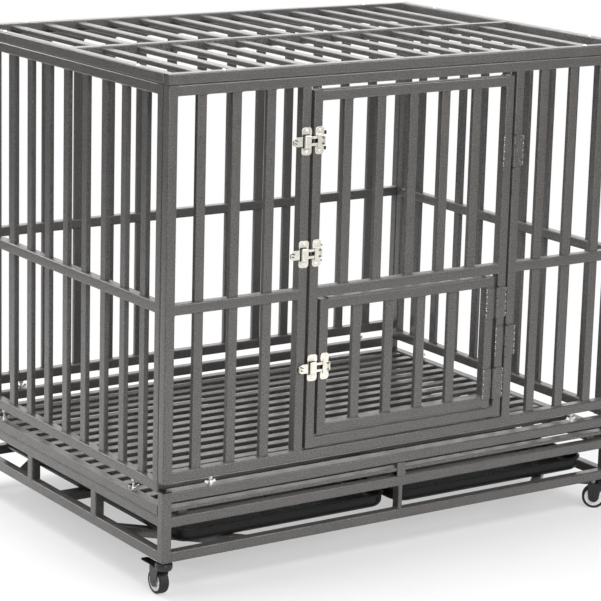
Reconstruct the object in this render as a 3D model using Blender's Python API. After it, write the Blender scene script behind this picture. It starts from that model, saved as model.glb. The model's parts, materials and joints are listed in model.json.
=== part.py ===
# Dog crate of square steel tube on four casters, with a main door, a feed door and two trays.
# Metres, +Z up. The crate stands on Z = 0 with the middle of its box over the origin.

import math

import bmesh
import bpy
import numpy as np
from mathutils import Matrix, Vector

# Overall sizes of the welded steel body
LENGTH = 1.080
DEPTH = 0.770
BODY_HEIGHT = 0.905
CASTER_HEIGHT = 0.065

# Stock: square tube for every frame, flat tube for every infill bar
TUBE = 0.020
BAR_WIDTH = 0.020
BAR_THICKNESS = 0.010
BAR_BURIED = 0.010
FIT = 0.0004

# Base: levels above its underside
TRAY_BAY_HEIGHT = 0.047
FLOOR_SLOT_HEIGHT = 0.0275
CENTRE_POST_WIDTH = 0.010
STRUT_FROM_FRONT = 0.260
STRUT_SPACING = 0.2585
CROSS_MEMBER_FROM_FRONT = 0.405
# Corner braces lie at 45 degrees: this is how far along each rail their centre lines reach
BRACE_REACH = 0.2045
BRACE_INSET = 0.0005

# Floor grate
SLAT_COUNT = 19
SLAT_WIDTH = 0.020
SLAT_THICKNESS = 0.0075
SLAT_DROP = 0.0025
SLAT_SETBACK = 0.002
BEARER_FROM_SIDE = 0.040
BEARER_SETBACK = 0.012
BEARER_LAP = 0.001

# Wall panels
FRONT_PANEL_LIFT = 0.018
SIDE_PANEL_LIFT = 0.025
MIDDLE_RAIL_LEVEL = 0.4665
FRONT_BAR_COUNT = 3
FRONT_BAR_GAP_CORNER = 0.043
FRONT_BAR_GAP_DOORWAY = 0.054
BACK_BAR_COUNT = 13
BACK_BAR_PITCH = 0.075
SIDE_BAR_COUNT = 9
SIDE_BAR_PITCH = 0.0733
ROOF_BAR_COUNT = 13
ROOF_BAR_PITCH = 0.075

# Main door
DOORWAY_LEFT = 0.305
DOORWAY_FROM_RIGHT = 0.2965
DOOR_GAP_LATCH = 0.006
DOOR_GAP_HINGE = 0.0045
DOOR_GAP_BOTTOM = 0.003
DOOR_GAP_TOP = 0.0075
DOOR_BAR_COUNT = 5
DOOR_BAR_GAP_LATCH = 0.0515
DOOR_BAR_GAP_HINGE = 0.0555

# Feed door, inside the lower part of the main door
FEED_GAP_LATCH = 0.0055
FEED_GAP_HINGE = 0.008
FEED_GAP_BOTTOM = 0.004
FEED_GAP_TOP = 0.0045
FEED_BAR_COUNT = 4
FEED_BAR_GAP_LATCH = 0.0595
FEED_BAR_GAP_HINGE = 0.0682

# Butt hinges
LEAF_WIDTH = 0.0235
LEAF_HEIGHT = 0.062
LEAF_THICKNESS = 0.002
KNUCKLE_RADIUS = 0.004
KNUCKLE_GAP = 0.0005
HINGE_PIN_RADIUS = 0.0020
HINGE_PIN_CLEARANCE = 0.00015
HINGE_PIN_HEAD_RADIUS = 0.0032
HINGE_PIN_HEAD_HEIGHT = 0.0012
HINGE_SWEEP_GAP = 0.0006
MAIN_HINGE_LEVELS = {"upper": 0.710, "lower": 0.330}
FEED_HINGE_LEVELS = {"upper": 0.410, "lower": 0.246}

# Slide latches
MAIN_LATCH_LEVELS = {"upper": 0.7646, "lower": 0.5528}
FEED_LATCH_LEVEL = 0.333
LATCH_PLATE_THICKNESS = 0.002
LATCH_PLATE_HEIGHT = 0.0515
CATCH_PLATE_WIDTH = 0.022
CATCH_PLATE_OVERHANG = 0.0005
GUIDE_PLATE_WIDTH = 0.0195
GUIDE_PLATE_FROM_EDGE = 0.0024
STUD_FROM_EDGE = 0.0135
STUD_NECK_RADIUS = 0.0018
STUD_HEAD_RADIUS = 0.0034
STUD_HEAD_THICKNESS = 0.0022
STUD_CLEARANCE = 0.0006
BOLT_THICKNESS = 0.0018
BOLT_HEIGHT = 0.018
BOLT_CLEARANCE = 0.0005
BOLT_THROW = 0.0045
BOLT_OVERHANG = 0.022
BOLT_LIP_THICKNESS = 0.002
BOLT_STOP_THICKNESS = 0.0016
PRONG_SLOT_HEIGHT = 0.008
PRONG_SLOT_FROM_HOUSING = 0.001
PRONG_SLOT_FROM_STOP = 0.009
HOUSING_WALL = 0.0015
HOUSING_HEIGHT = 0.024
BRIDGE_WIDTH = 0.009
BRIDGE_THICKNESS = 0.0016
BRIDGE_LEG = 0.0025
BRIDGE_FROM_EDGE = 0.0055

# Trays
TRAY_WIDTH = 0.487
TRAY_HEIGHT = 0.028
TRAY_RIM_WIDTH = 0.0035
TRAY_RIM_THICKNESS = 0.003
TRAY_WALL = 0.0025
TRAY_EDGE_RADIUS = 0.013
TRAY_CORNER_RADIUS = 0.036
TRAY_CLEARANCE = 0.0015
TRAY_CORNER_STEPS = 6
TRAY_EDGE_STEPS = 3

# Casters
CASTER_INSET = 0.010
CASTER_TRAIL = 0.018
WHEEL_RADIUS = 0.024
WHEEL_WIDTH = 0.020
TYRE_THICKNESS = 0.0050
HUB_TYRE_GAP = 0.0003
AXLE_RADIUS = 0.003
AXLE_CLEARANCE = 0.00015
RIVET_HEAD = 0.0006
RIVET_HEAD_RADIUS = 0.0045
FORK_SHEET = 0.0016
FORK_PLATE = 0.0025
FORK_CLEARANCE = 0.001
FORK_TOP_LEVEL = 0.0541
FORK_PLATE_END = 0.024
FORK_LEG_START = 0.002
FORK_EAR_END = 0.0312
FORK_EAR_LEVEL = 0.0465
FORK_FOOT_RADIUS = 0.0065
MOUNT_FLANGE_RADIUS = 0.0095
MOUNT_FLANGE_HEIGHT = 0.004
MOUNT_HUB_RADIUS = 0.008
KINGPIN_RADIUS = 0.003
KINGPIN_HEAD_RADIUS = 0.0045
KINGPIN_HEAD_HEIGHT = 0.003
KINGPIN_CLEARANCE = 0.0002
SIDES_SMALL = 16
SIDES_LARGE = 32
# Swivel angle of each caster about +Z: at 0 the wheel trails towards +Y
CASTER_ANGLES = {"front_left": 0.0, "front_right": 48.6, "back_left": 180.0, "back_right": 180.0}

# Brake pedals of the two front casters
PEDAL_PIN_RADIUS = 0.0013
PEDAL_BARREL_RADIUS = 0.0025
PEDAL_PIN_CLEARANCE = 0.00015
PEDAL_PIVOT_BEHIND_AXLE = 0.0100
PEDAL_PIVOT_LEVEL = 0.0500
PEDAL_WIDTH = 0.017
PEDAL_LENGTH = 0.044
PEDAL_THICKNESS = 0.0022

# Screws that carry the panels above the base
SPACER_RADIUS = 0.005
FRONT_SPACER_FROM_END = 0.1070
SIDE_SPACER_FROM_END = 0.1225

# Levels and lines worked out from the sizes above
MIDDLE_LEVEL = TUBE + TRAY_BAY_HEIGHT
FLOOR_RAIL_LEVEL = MIDDLE_LEVEL + TUBE
FLOOR_RAIL_TOP = FLOOR_RAIL_LEVEL + TUBE
TOP_RAIL_LEVEL = FLOOR_RAIL_LEVEL + FLOOR_SLOT_HEIGHT
BASE_HEIGHT = TOP_RAIL_LEVEL + TUBE
FRONT_PANEL_LEVEL = BASE_HEIGHT + FRONT_PANEL_LIFT
SIDE_PANEL_LEVEL = FLOOR_RAIL_TOP + SIDE_PANEL_LIFT
ROOF_LEVEL = BODY_HEIGHT - TUBE
PANEL_TOP = ROOF_LEVEL - FIT
DOORWAY_RIGHT = LENGTH - DOORWAY_FROM_RIGHT
DOOR_LEFT = DOORWAY_LEFT + DOOR_GAP_LATCH
DOOR_RIGHT = DOORWAY_RIGHT - DOOR_GAP_HINGE
DOOR_BOTTOM = FRONT_PANEL_LEVEL + TUBE + DOOR_GAP_BOTTOM
DOOR_TOP = PANEL_TOP - TUBE - DOOR_GAP_TOP
FEED_LEFT = DOOR_LEFT + TUBE + FEED_GAP_LATCH
FEED_RIGHT = DOOR_RIGHT - TUBE - FEED_GAP_HINGE
FEED_BOTTOM = DOOR_BOTTOM + TUBE + FEED_GAP_BOTTOM
FEED_TOP = MIDDLE_RAIL_LEVEL - FEED_GAP_TOP
MAIN_HINGE_X = DOORWAY_RIGHT - DOOR_GAP_HINGE / 2
FEED_HINGE_X = FEED_RIGHT + FEED_GAP_HINGE / 2
HINGE_Y = -FIT - KNUCKLE_RADIUS
BAR_FRONT = (TUBE - BAR_THICKNESS) / 2

# Depths of the latch, counted out from the front faces
PLATE_FACE = FIT + LATCH_PLATE_THICKNESS
BOLT_BACK = PLATE_FACE + BOLT_CLEARANCE
BOLT_FACE = BOLT_BACK + BOLT_THICKNESS
STUD_HEAD_BACK = BOLT_FACE + BOLT_CLEARANCE
STUD_HEAD_FACE = STUD_HEAD_BACK + STUD_HEAD_THICKNESS
HOUSING_FACE = STUD_HEAD_FACE + STUD_CLEARANCE + HOUSING_WALL

# The casters and the latches stand out from the body, and the origin is in the middle of it all
CASTER_REACH = WHEEL_WIDTH / 2 + FORK_CLEARANCE + FORK_SHEET
BACK_REACH = CASTER_REACH - CASTER_INSET
FRONT_Y = -DEPTH / 2 + (HOUSING_FACE - BACK_REACH) / 2
CRATE_CORNER = Vector((-LENGTH / 2, FRONT_Y, CASTER_HEIGHT))

# Finishes: base colour, metallic, roughness
FINISHES = {
    "frame_paint": ((0.085, 0.083, 0.082), 0.35, 0.42),
    "nickel": ((0.78, 0.77, 0.74), 1.0, 0.24),
    "zinc": ((0.62, 0.62, 0.60), 1.0, 0.34),
    "black_plastic": ((0.012, 0.012, 0.013), 0.0, 0.38),
    "grey_plastic": ((0.55, 0.55, 0.54), 0.0, 0.45),
    "rubber": ((0.018, 0.018, 0.018), 0.0, 0.62),
}


def clear_scene():
    for leftover in list(bpy.data.objects):
        bpy.data.objects.remove(leftover, do_unlink=True)


def give_finish(obj, finish):
    colour, metallic, roughness = FINISHES[finish]
    material = bpy.data.materials.new(obj.name + "_" + finish)
    material.use_nodes = True
    shader = material.node_tree.nodes["Principled BSDF"]
    shader.inputs["Base Color"].default_value = (*colour, 1.0)
    shader.inputs["Metallic"].default_value = metallic
    shader.inputs["Roughness"].default_value = roughness
    obj.data.materials.clear()
    obj.data.materials.append(material)


def object_from_bmesh(name, bm):
    bmesh.ops.recalc_face_normals(bm, faces=bm.faces)
    mesh = bpy.data.meshes.new(name)
    bm.to_mesh(mesh)
    bm.free()
    obj = bpy.data.objects.new(name, mesh)
    bpy.context.scene.collection.objects.link(obj)
    return obj


def empty_at(name, location, parent=None, turn=0.0):
    empty = bpy.data.objects.new(name, None)
    empty.location = location
    empty.rotation_euler.z = turn
    empty.parent = parent
    bpy.context.scene.collection.objects.link(empty)
    return empty


def place_node(obj, finish, parent, origin=(0, 0, 0)):
    # The mesh is drawn in its parent's frame, then its origin moves to the given point
    obj.data.transform(Matrix.Translation(-Vector(origin)))
    obj.location = origin
    obj.parent = parent
    give_finish(obj, finish)
    return obj


def box(x_from, x_to, y_from, y_to, z_from, z_to):
    return ((x_from, y_from, z_from), (x_to, y_to, z_to))


def solid_from_boxes(name, boxes):
    # One closed surface round any number of joined square-cut tubes: the boxes' own faces
    # cut space into cells, and a face is made wherever a filled cell meets an empty one
    cuts = []
    for axis in range(3):
        values = {round(corner[axis], 6) for pair in boxes for corner in pair}
        cuts.append(sorted(values))
    filled = np.zeros([len(values) + 1 for values in cuts], dtype=bool)
    for low, high in boxes:
        first = [cuts[axis].index(round(low[axis], 6)) + 1 for axis in range(3)]
        last = [cuts[axis].index(round(high[axis], 6)) + 1 for axis in range(3)]
        filled[first[0]:last[0], first[1]:last[1], first[2]:last[2]] = True
    bm = bmesh.new()
    corners = {}

    def corner_at(index):
        if index not in corners:
            corners[index] = bm.verts.new([cuts[axis][index[axis]] for axis in range(3)])
        return corners[index]

    for cell in zip(*np.nonzero(filled)):
        for axis in range(3):
            across, along = (axis + 1) % 3, (axis + 2) % 3
            for side in (0, 1):
                neighbour = list(cell)
                neighbour[axis] += 2 * side - 1
                if filled[tuple(neighbour)]:
                    continue
                loop = []
                for step_across, step_along in ((0, 0), (1, 0), (1, 1), (0, 1)):
                    index = [int(value) - 1 for value in cell]
                    index[axis] += side
                    index[across] += step_across
                    index[along] += step_along
                    loop.append(corner_at(tuple(index)))
                bm.faces.new(loop if side else reversed(loop))
    flat = math.radians(0.5)
    bmesh.ops.dissolve_limit(bm, angle_limit=flat, verts=bm.verts, edges=bm.edges)
    return object_from_bmesh(name, bm)


def turned_solid(name, profile, sides):
    # The profile's (radius, height) points run from the axis round to the axis again
    bm = bmesh.new()
    verts = [bm.verts.new((radius, 0, height)) for radius, height in profile]
    edges = [bm.edges.new(pair) for pair in zip(verts, verts[1:])]
    bmesh.ops.spin(bm, geom=verts + edges, cent=(0, 0, 0), axis=(0, 0, 1),
                   angle=math.tau, steps=sides, use_merge=True)
    bmesh.ops.remove_doubles(bm, verts=bm.verts, dist=0.00001)
    return object_from_bmesh(name, bm)


def turned_ring(name, profile, sides):
    # A closed profile off the axis, such as a tyre's section
    bm = bmesh.new()
    verts = [bm.verts.new((radius, 0, height)) for radius, height in profile]
    edges = [bm.edges.new(pair) for pair in zip(verts, verts[1:] + verts[:1])]
    bmesh.ops.spin(bm, geom=verts + edges, cent=(0, 0, 0), axis=(0, 0, 1),
                   angle=math.tau, steps=sides, use_merge=True)
    return object_from_bmesh(name, bm)


def cylinder(name, radius, start, end, sides=SIDES_SMALL):
    # A round bar between two points
    start, end = Vector(start), Vector(end)
    bar = turned_solid(name, [(0, 0), (radius, 0), (radius, (end - start).length),
                              (0, (end - start).length)], sides)
    turn = Vector((0, 0, 1)).rotation_difference(end - start).to_matrix().to_4x4()
    bar.data.transform(Matrix.Translation(start) @ turn)
    return bar


def extruded_outline(name, outline, start, depth):
    # The outline's (across, along) points lie in the YZ plane, and the solid runs along +X
    bm = bmesh.new()
    verts = [bm.verts.new((start, across, along)) for across, along in outline]
    face = bm.faces.new(verts)
    grown = bmesh.ops.extrude_face_region(bm, geom=[face])
    moved = [item for item in grown["geom"] if isinstance(item, bmesh.types.BMVert)]
    bmesh.ops.translate(bm, verts=moved, vec=(depth, 0, 0))
    return object_from_bmesh(name, bm)


def arc(centre, radius, start_degrees, end_degrees, steps):
    points = []
    for step in range(steps + 1):
        angle = math.radians(start_degrees + (end_degrees - start_degrees) * step / steps)
        points.append((centre[0] + radius * math.cos(angle), centre[1] + radius * math.sin(angle)))
    return points


def combine(target, other, operation):
    # Joins the second solid to the first, or cuts it away, and keeps only the result
    modifier = target.modifiers.new(operation.lower(), "BOOLEAN")
    modifier.operation = operation
    modifier.solver = "EXACT"
    modifier.object = other
    depsgraph = bpy.context.evaluated_depsgraph_get()
    result = bpy.data.meshes.new_from_object(target.evaluated_get(depsgraph))
    target.modifiers.clear()
    target.data = result
    bpy.data.objects.remove(other, do_unlink=True)
    return target


def shade(obj):
    obj.data.shade_smooth()
    obj.data.set_sharp_from_angle(angle=math.radians(35))
    return obj


def centred_bars(count, pitch, middle):
    # Near edge of each bar of a row that is centred on a line
    first = middle - pitch * (count - 1) / 2 - BAR_WIDTH / 2
    return [first + pitch * number for number in range(count)]


def spaced_bars(count, start, end):
    # Near edge of each bar of a row that fills the space between two lines
    pitch = (end - start - BAR_WIDTH) / (count - 1)
    return [start + pitch * number for number in range(count)]


def upright_bars(edges, y_from, z_from, z_to):
    # Flat tubes standing in a panel that faces along Y, half a tube into the rails
    return [box(edge, edge + BAR_WIDTH, y_from + BAR_FRONT, y_from + BAR_FRONT + BAR_THICKNESS,
                z_from - BAR_BURIED, z_to + BAR_BURIED) for edge in edges]


def base_frame(crate):
    right, back = LENGTH - TUBE, DEPTH - TUBE
    boxes = []
    for x in (0, right):
        for y in (0, back):
            boxes.append(box(x, x + TUBE, y, y + TUBE, 0, BASE_HEIGHT))
    for y in (0, back):
        for level in (0, MIDDLE_LEVEL, TOP_RAIL_LEVEL):
            boxes.append(box(0, LENGTH, y, y + TUBE, level, level + TUBE))
        boxes.append(box((LENGTH - CENTRE_POST_WIDTH) / 2, (LENGTH + CENTRE_POST_WIDTH) / 2,
                         y, y + TUBE, 0, MIDDLE_LEVEL))
    for x in (0, (LENGTH - TUBE) / 2, right):
        boxes.append(box(x, x + TUBE, 0, DEPTH, MIDDLE_LEVEL, MIDDLE_LEVEL + TUBE))
    for x in (0, right):
        boxes.append(box(x, x + TUBE, 0, DEPTH, 0, TUBE))
        for number in range(2):
            y = STRUT_FROM_FRONT + STRUT_SPACING * number - TUBE / 2
            boxes.append(box(x, x + TUBE, y, y + TUBE, 0, MIDDLE_LEVEL))
    boxes.append(box(0, LENGTH, CROSS_MEMBER_FROM_FRONT, CROSS_MEMBER_FROM_FRONT + TUBE, 0, TUBE))
    frame = solid_from_boxes("base_frame", boxes)
    # A brace across each lower corner, its ends inside the two rails
    ends = (Vector((TUBE / 2, BRACE_REACH - TUBE / 2, TUBE / 2)),
            Vector((BRACE_REACH - TUBE / 2, TUBE / 2, TUBE / 2)))
    for turn_x in (1, -1):
        for turn_y in (1, -1):
            corner = Vector((0 if turn_x > 0 else LENGTH, 0 if turn_y > 0 else DEPTH, 0))
            start, end = (corner + Vector((turn_x * p.x, turn_y * p.y, p.z)) for p in ends)
            combine(frame, brace(start, end), "UNION")
    place_node(frame, "frame_paint", crate)


def brace(start, end):
    # Square tube between two points at one height, a shade lower than the rails that it joins
    half_length = (end - start).length / 2
    half_height = TUBE / 2 - BRACE_INSET
    tube = solid_from_boxes("brace", [box(-half_length, half_length, -TUBE / 2, TUBE / 2,
                                          -half_height, half_height)])
    turn = math.atan2(end.y - start.y, end.x - start.x)
    tube.data.transform(Matrix.Translation((start + end) / 2) @ Matrix.Rotation(turn, 4, "Z"))
    return tube


def floor_grate(crate):
    slat_top = FLOOR_RAIL_TOP - SLAT_DROP
    slat_pitch = (DEPTH - 2 * SLAT_SETBACK - SLAT_WIDTH) / (SLAT_COUNT - 1)
    rail_front = TUBE + FIT
    rail_back = DEPTH - TUBE - FIT
    boxes = []
    for x in (0, LENGTH - TUBE):
        boxes.append(box(x, x + TUBE, rail_front, rail_back, FLOOR_RAIL_LEVEL + FIT, FLOOR_RAIL_TOP))
    for number in range(SLAT_COUNT):
        y = SLAT_SETBACK + slat_pitch * number
        # The first and last slats pass between the corner posts
        end_slat = number in (0, SLAT_COUNT - 1)
        inset = TUBE + FIT if end_slat else TUBE / 2
        boxes.append(box(inset, LENGTH - inset, y, y + SLAT_WIDTH, slat_top - SLAT_THICKNESS, slat_top))
    bearer_top = slat_top - SLAT_THICKNESS + BEARER_LAP
    for x in (BEARER_FROM_SIDE, LENGTH - BEARER_FROM_SIDE - TUBE):
        boxes.append(box(x, x + TUBE, BEARER_SETBACK, DEPTH - BEARER_SETBACK,
                         FLOOR_RAIL_LEVEL + FIT, bearer_top))
    # The middle bearer ends in a block that fills the slot between the base's rails
    middle = (LENGTH - TUBE) / 2
    boxes.append(box(middle, middle + TUBE, 0, DEPTH, FLOOR_RAIL_LEVEL + FIT, bearer_top))
    for y in (0, DEPTH - BEARER_SETBACK):
        boxes.append(box(middle, middle + TUBE, y, y + BEARER_SETBACK,
                         FLOOR_RAIL_LEVEL + FIT, TOP_RAIL_LEVEL - FIT))
    place_node(solid_from_boxes("floor_grate", boxes), "frame_paint", crate)


def front_panel(crate):
    bottom = FRONT_PANEL_LEVEL
    bottom_rail_top = bottom + TUBE
    top_rail = PANEL_TOP - TUBE
    boxes = []
    for x in (0, DOORWAY_LEFT - TUBE, DOORWAY_RIGHT, LENGTH - TUBE):
        boxes.append(box(x, x + TUBE, 0, TUBE, bottom, PANEL_TOP))
    for level in (bottom, top_rail):
        boxes.append(box(0, LENGTH, 0, TUBE, level, level + TUBE))
    for x_from, x_to in ((0, DOORWAY_LEFT), (DOORWAY_RIGHT, LENGTH)):
        boxes.append(box(x_from, x_to, 0, TUBE, MIDDLE_RAIL_LEVEL, MIDDLE_RAIL_LEVEL + TUBE))
    left_bay = spaced_bars(FRONT_BAR_COUNT, TUBE + FRONT_BAR_GAP_CORNER,
                           DOORWAY_LEFT - TUBE - FRONT_BAR_GAP_DOORWAY)
    edges = left_bay + [LENGTH - edge - BAR_WIDTH for edge in left_bay]
    boxes += upright_bars(edges, 0, bottom_rail_top, top_rail)
    place_node(solid_from_boxes("front_panel", boxes), "frame_paint", crate)


def back_panel(crate):
    y = DEPTH - TUBE
    boxes = []
    for x in (0, LENGTH - TUBE):
        boxes.append(box(x, x + TUBE, y, DEPTH, FRONT_PANEL_LEVEL, PANEL_TOP))
    for level in (FRONT_PANEL_LEVEL, MIDDLE_RAIL_LEVEL, PANEL_TOP - TUBE):
        boxes.append(box(0, LENGTH, y, DEPTH, level, level + TUBE))
    edges = centred_bars(BACK_BAR_COUNT, BACK_BAR_PITCH, LENGTH / 2)
    boxes += upright_bars(edges, y, FRONT_PANEL_LEVEL + TUBE, PANEL_TOP - TUBE)
    place_node(solid_from_boxes("back_panel", boxes), "frame_paint", crate)


def side_panel(name, x, crate):
    front, back = TUBE + FIT, DEPTH - TUBE - FIT
    boxes = []
    for y in (front, back - TUBE):
        boxes.append(box(x, x + TUBE, y, y + TUBE, SIDE_PANEL_LEVEL, PANEL_TOP))
    for level in (SIDE_PANEL_LEVEL, MIDDLE_RAIL_LEVEL, PANEL_TOP - TUBE):
        boxes.append(box(x, x + TUBE, front, back, level, level + TUBE))
    for y in centred_bars(SIDE_BAR_COUNT, SIDE_BAR_PITCH, DEPTH / 2):
        boxes.append(box(x + BAR_FRONT, x + BAR_FRONT + BAR_THICKNESS, y, y + BAR_WIDTH,
                         SIDE_PANEL_LEVEL + TUBE - BAR_BURIED, PANEL_TOP - TUBE + BAR_BURIED))
    place_node(solid_from_boxes(name, boxes), "frame_paint", crate)


def roof_panel(crate):
    boxes = []
    for y in (0, (DEPTH - TUBE) / 2, DEPTH - TUBE):
        boxes.append(box(0, LENGTH, y, y + TUBE, ROOF_LEVEL, BODY_HEIGHT))
    for x in (0, LENGTH - TUBE):
        boxes.append(box(x, x + TUBE, 0, DEPTH, ROOF_LEVEL, BODY_HEIGHT))
    for x in centred_bars(ROOF_BAR_COUNT, ROOF_BAR_PITCH, LENGTH / 2):
        boxes.append(box(x, x + BAR_WIDTH, TUBE - BAR_BURIED, DEPTH - TUBE + BAR_BURIED,
                         ROOF_LEVEL + BAR_FRONT, ROOF_LEVEL + BAR_FRONT + BAR_THICKNESS))
    place_node(solid_from_boxes("roof_panel", boxes), "frame_paint", crate)


def main_door(hinge_line):
    boxes = []
    for x in (DOOR_LEFT, DOOR_RIGHT - TUBE):
        boxes.append(box(x, x + TUBE, 0, TUBE, DOOR_BOTTOM, DOOR_TOP))
    for level in (DOOR_BOTTOM, MIDDLE_RAIL_LEVEL, DOOR_TOP - TUBE):
        boxes.append(box(DOOR_LEFT, DOOR_RIGHT, 0, TUBE, level, level + TUBE))
    edges = spaced_bars(DOOR_BAR_COUNT, DOOR_LEFT + TUBE + DOOR_BAR_GAP_LATCH,
                        DOOR_RIGHT - TUBE - DOOR_BAR_GAP_HINGE)
    boxes += upright_bars(edges, 0, MIDDLE_RAIL_LEVEL + TUBE, DOOR_TOP - TUBE)
    door = solid_from_boxes("main_door", boxes)
    door.data.transform(Matrix.Translation(-hinge_line.location))
    place_node(door, "frame_paint", hinge_line)


def feed_door(hinge_line):
    boxes = []
    for x in (FEED_LEFT, FEED_RIGHT - TUBE):
        boxes.append(box(x, x + TUBE, 0, TUBE, FEED_BOTTOM, FEED_TOP))
    for level in (FEED_BOTTOM, FEED_TOP - TUBE):
        boxes.append(box(FEED_LEFT, FEED_RIGHT, 0, TUBE, level, level + TUBE))
    edges = spaced_bars(FEED_BAR_COUNT, FEED_LEFT + TUBE + FEED_BAR_GAP_LATCH,
                        FEED_RIGHT - TUBE - FEED_BAR_GAP_HINGE)
    boxes += upright_bars(edges, 0, FEED_BOTTOM + TUBE, FEED_TOP - TUBE)
    door = solid_from_boxes("feed_door", boxes)
    door.data.transform(Matrix.Translation(-Vector((FEED_HINGE_X, HINGE_Y, 0))))
    place_node(door, "frame_paint", hinge_line)


def hinge_leaf(name, side, knuckles):
    # A plate on the front face with its knuckles round the pin; side is -1 to the left of the pin
    plate_edge = KNUCKLE_RADIUS + HINGE_SWEEP_GAP
    plate_back = KNUCKLE_RADIUS
    plate_front = plate_back - LEAF_THICKNESS
    reach = sorted((side * plate_edge, side * LEAF_WIDTH))
    boxes = [box(*reach, plate_front, plate_back, -LEAF_HEIGHT / 2, LEAF_HEIGHT / 2)]
    for z_from, z_to in knuckles:
        tab = sorted((0.0, side * plate_edge))
        boxes.append(box(*tab, plate_front, plate_back, z_from, z_to))
    leaf = solid_from_boxes(name, boxes)
    for z_from, z_to in knuckles:
        knuckle = cylinder(name + "_knuckle", KNUCKLE_RADIUS - FIT / 4, (0, 0, z_from), (0, 0, z_to))
        combine(leaf, knuckle, "UNION")
    bore = cylinder(name + "_bore", HINGE_PIN_RADIUS + HINGE_PIN_CLEARANCE,
                    (0, 0, -LEAF_HEIGHT), (0, 0, LEAF_HEIGHT))
    combine(leaf, bore, "DIFFERENCE")
    return leaf


def hinge_pin(name):
    head = LEAF_HEIGHT / 2 + KNUCKLE_GAP
    end = head + HINGE_PIN_HEAD_HEIGHT
    return turned_solid(name, [(0, -end), (HINGE_PIN_HEAD_RADIUS, -end), (HINGE_PIN_HEAD_RADIUS, -head),
                               (HINGE_PIN_RADIUS, -head), (HINGE_PIN_RADIUS, head),
                               (HINGE_PIN_HEAD_RADIUS, head), (HINGE_PIN_HEAD_RADIUS, end),
                               (0, end)], SIDES_SMALL)


def butt_hinge(name, location, frame_parent, door_parent):
    # The frame's leaf has the two outer knuckles, the door's leaf the middle one
    third = LEAF_HEIGHT / 6
    outer = LEAF_HEIGHT / 2
    gap = KNUCKLE_GAP / 2
    frame_leaf = hinge_leaf(name + "_frame_leaf", 1, [(-outer, -third - gap), (third + gap, outer)])
    door_leaf = hinge_leaf(name + "_door_leaf", -1, [(-third + gap, third - gap)])
    for leaf, parent in ((frame_leaf, frame_parent), (door_leaf, door_parent),
                         (hinge_pin(name + "_pin"), frame_parent)):
        shade(leaf)
        place_node(leaf, "frame_paint", parent)
        leaf.location = Vector(location) - Vector(parent.get("crate_position", (0, 0, 0)))


def front_box(x_from, x_to, z_from, z_to, depth_from, depth_to):
    # A box whose depths count outwards from the front faces, towards -Y
    return box(x_from, x_to, -depth_to, -depth_from, z_from, z_to)


def latch_catch(name):
    # Plate on the post, with a mushroom stud on it; x counts from the stud
    plate_right = STUD_FROM_EDGE + CATCH_PLATE_OVERHANG
    half = LATCH_PLATE_HEIGHT / 2
    plate = solid_from_boxes(name, [front_box(plate_right - CATCH_PLATE_WIDTH, plate_right, -half, half,
                                              FIT, PLATE_FACE)])
    sunk = LATCH_PLATE_THICKNESS / 2
    neck = cylinder(name + "_neck", STUD_NECK_RADIUS, (0, -PLATE_FACE + sunk, 0),
                    (0, -STUD_HEAD_BACK - STUD_HEAD_THICKNESS / 2, 0))
    head = cylinder(name + "_head", STUD_HEAD_RADIUS, (0, -STUD_HEAD_BACK, 0), (0, -STUD_HEAD_FACE, 0))
    combine(neck, head, "UNION")
    return combine(plate, neck, "UNION")


def latch_guide(name, edge):
    # Plate on the door with a bridge that holds the bolt; edge is the door's edge from the stud
    left = edge + GUIDE_PLATE_FROM_EDGE
    half = LATCH_PLATE_HEIGHT / 2
    slot = BOLT_HEIGHT / 2 + BOLT_CLEARANCE
    bridge_back = BOLT_FACE + BOLT_CLEARANCE
    bridge_left = edge + BRIDGE_FROM_EDGE
    bridge_right = bridge_left + BRIDGE_WIDTH
    boxes = [front_box(left, left + GUIDE_PLATE_WIDTH, -half, half, FIT, PLATE_FACE),
             front_box(bridge_left, bridge_right, -slot - BRIDGE_LEG, slot + BRIDGE_LEG,
                       bridge_back, bridge_back + BRIDGE_THICKNESS)]
    for leg in (-slot - BRIDGE_LEG, slot):
        boxes.append(front_box(bridge_left, bridge_right, leg, leg + BRIDGE_LEG,
                               FIT, bridge_back + BRIDGE_THICKNESS))
    return solid_from_boxes(name, boxes)


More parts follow.
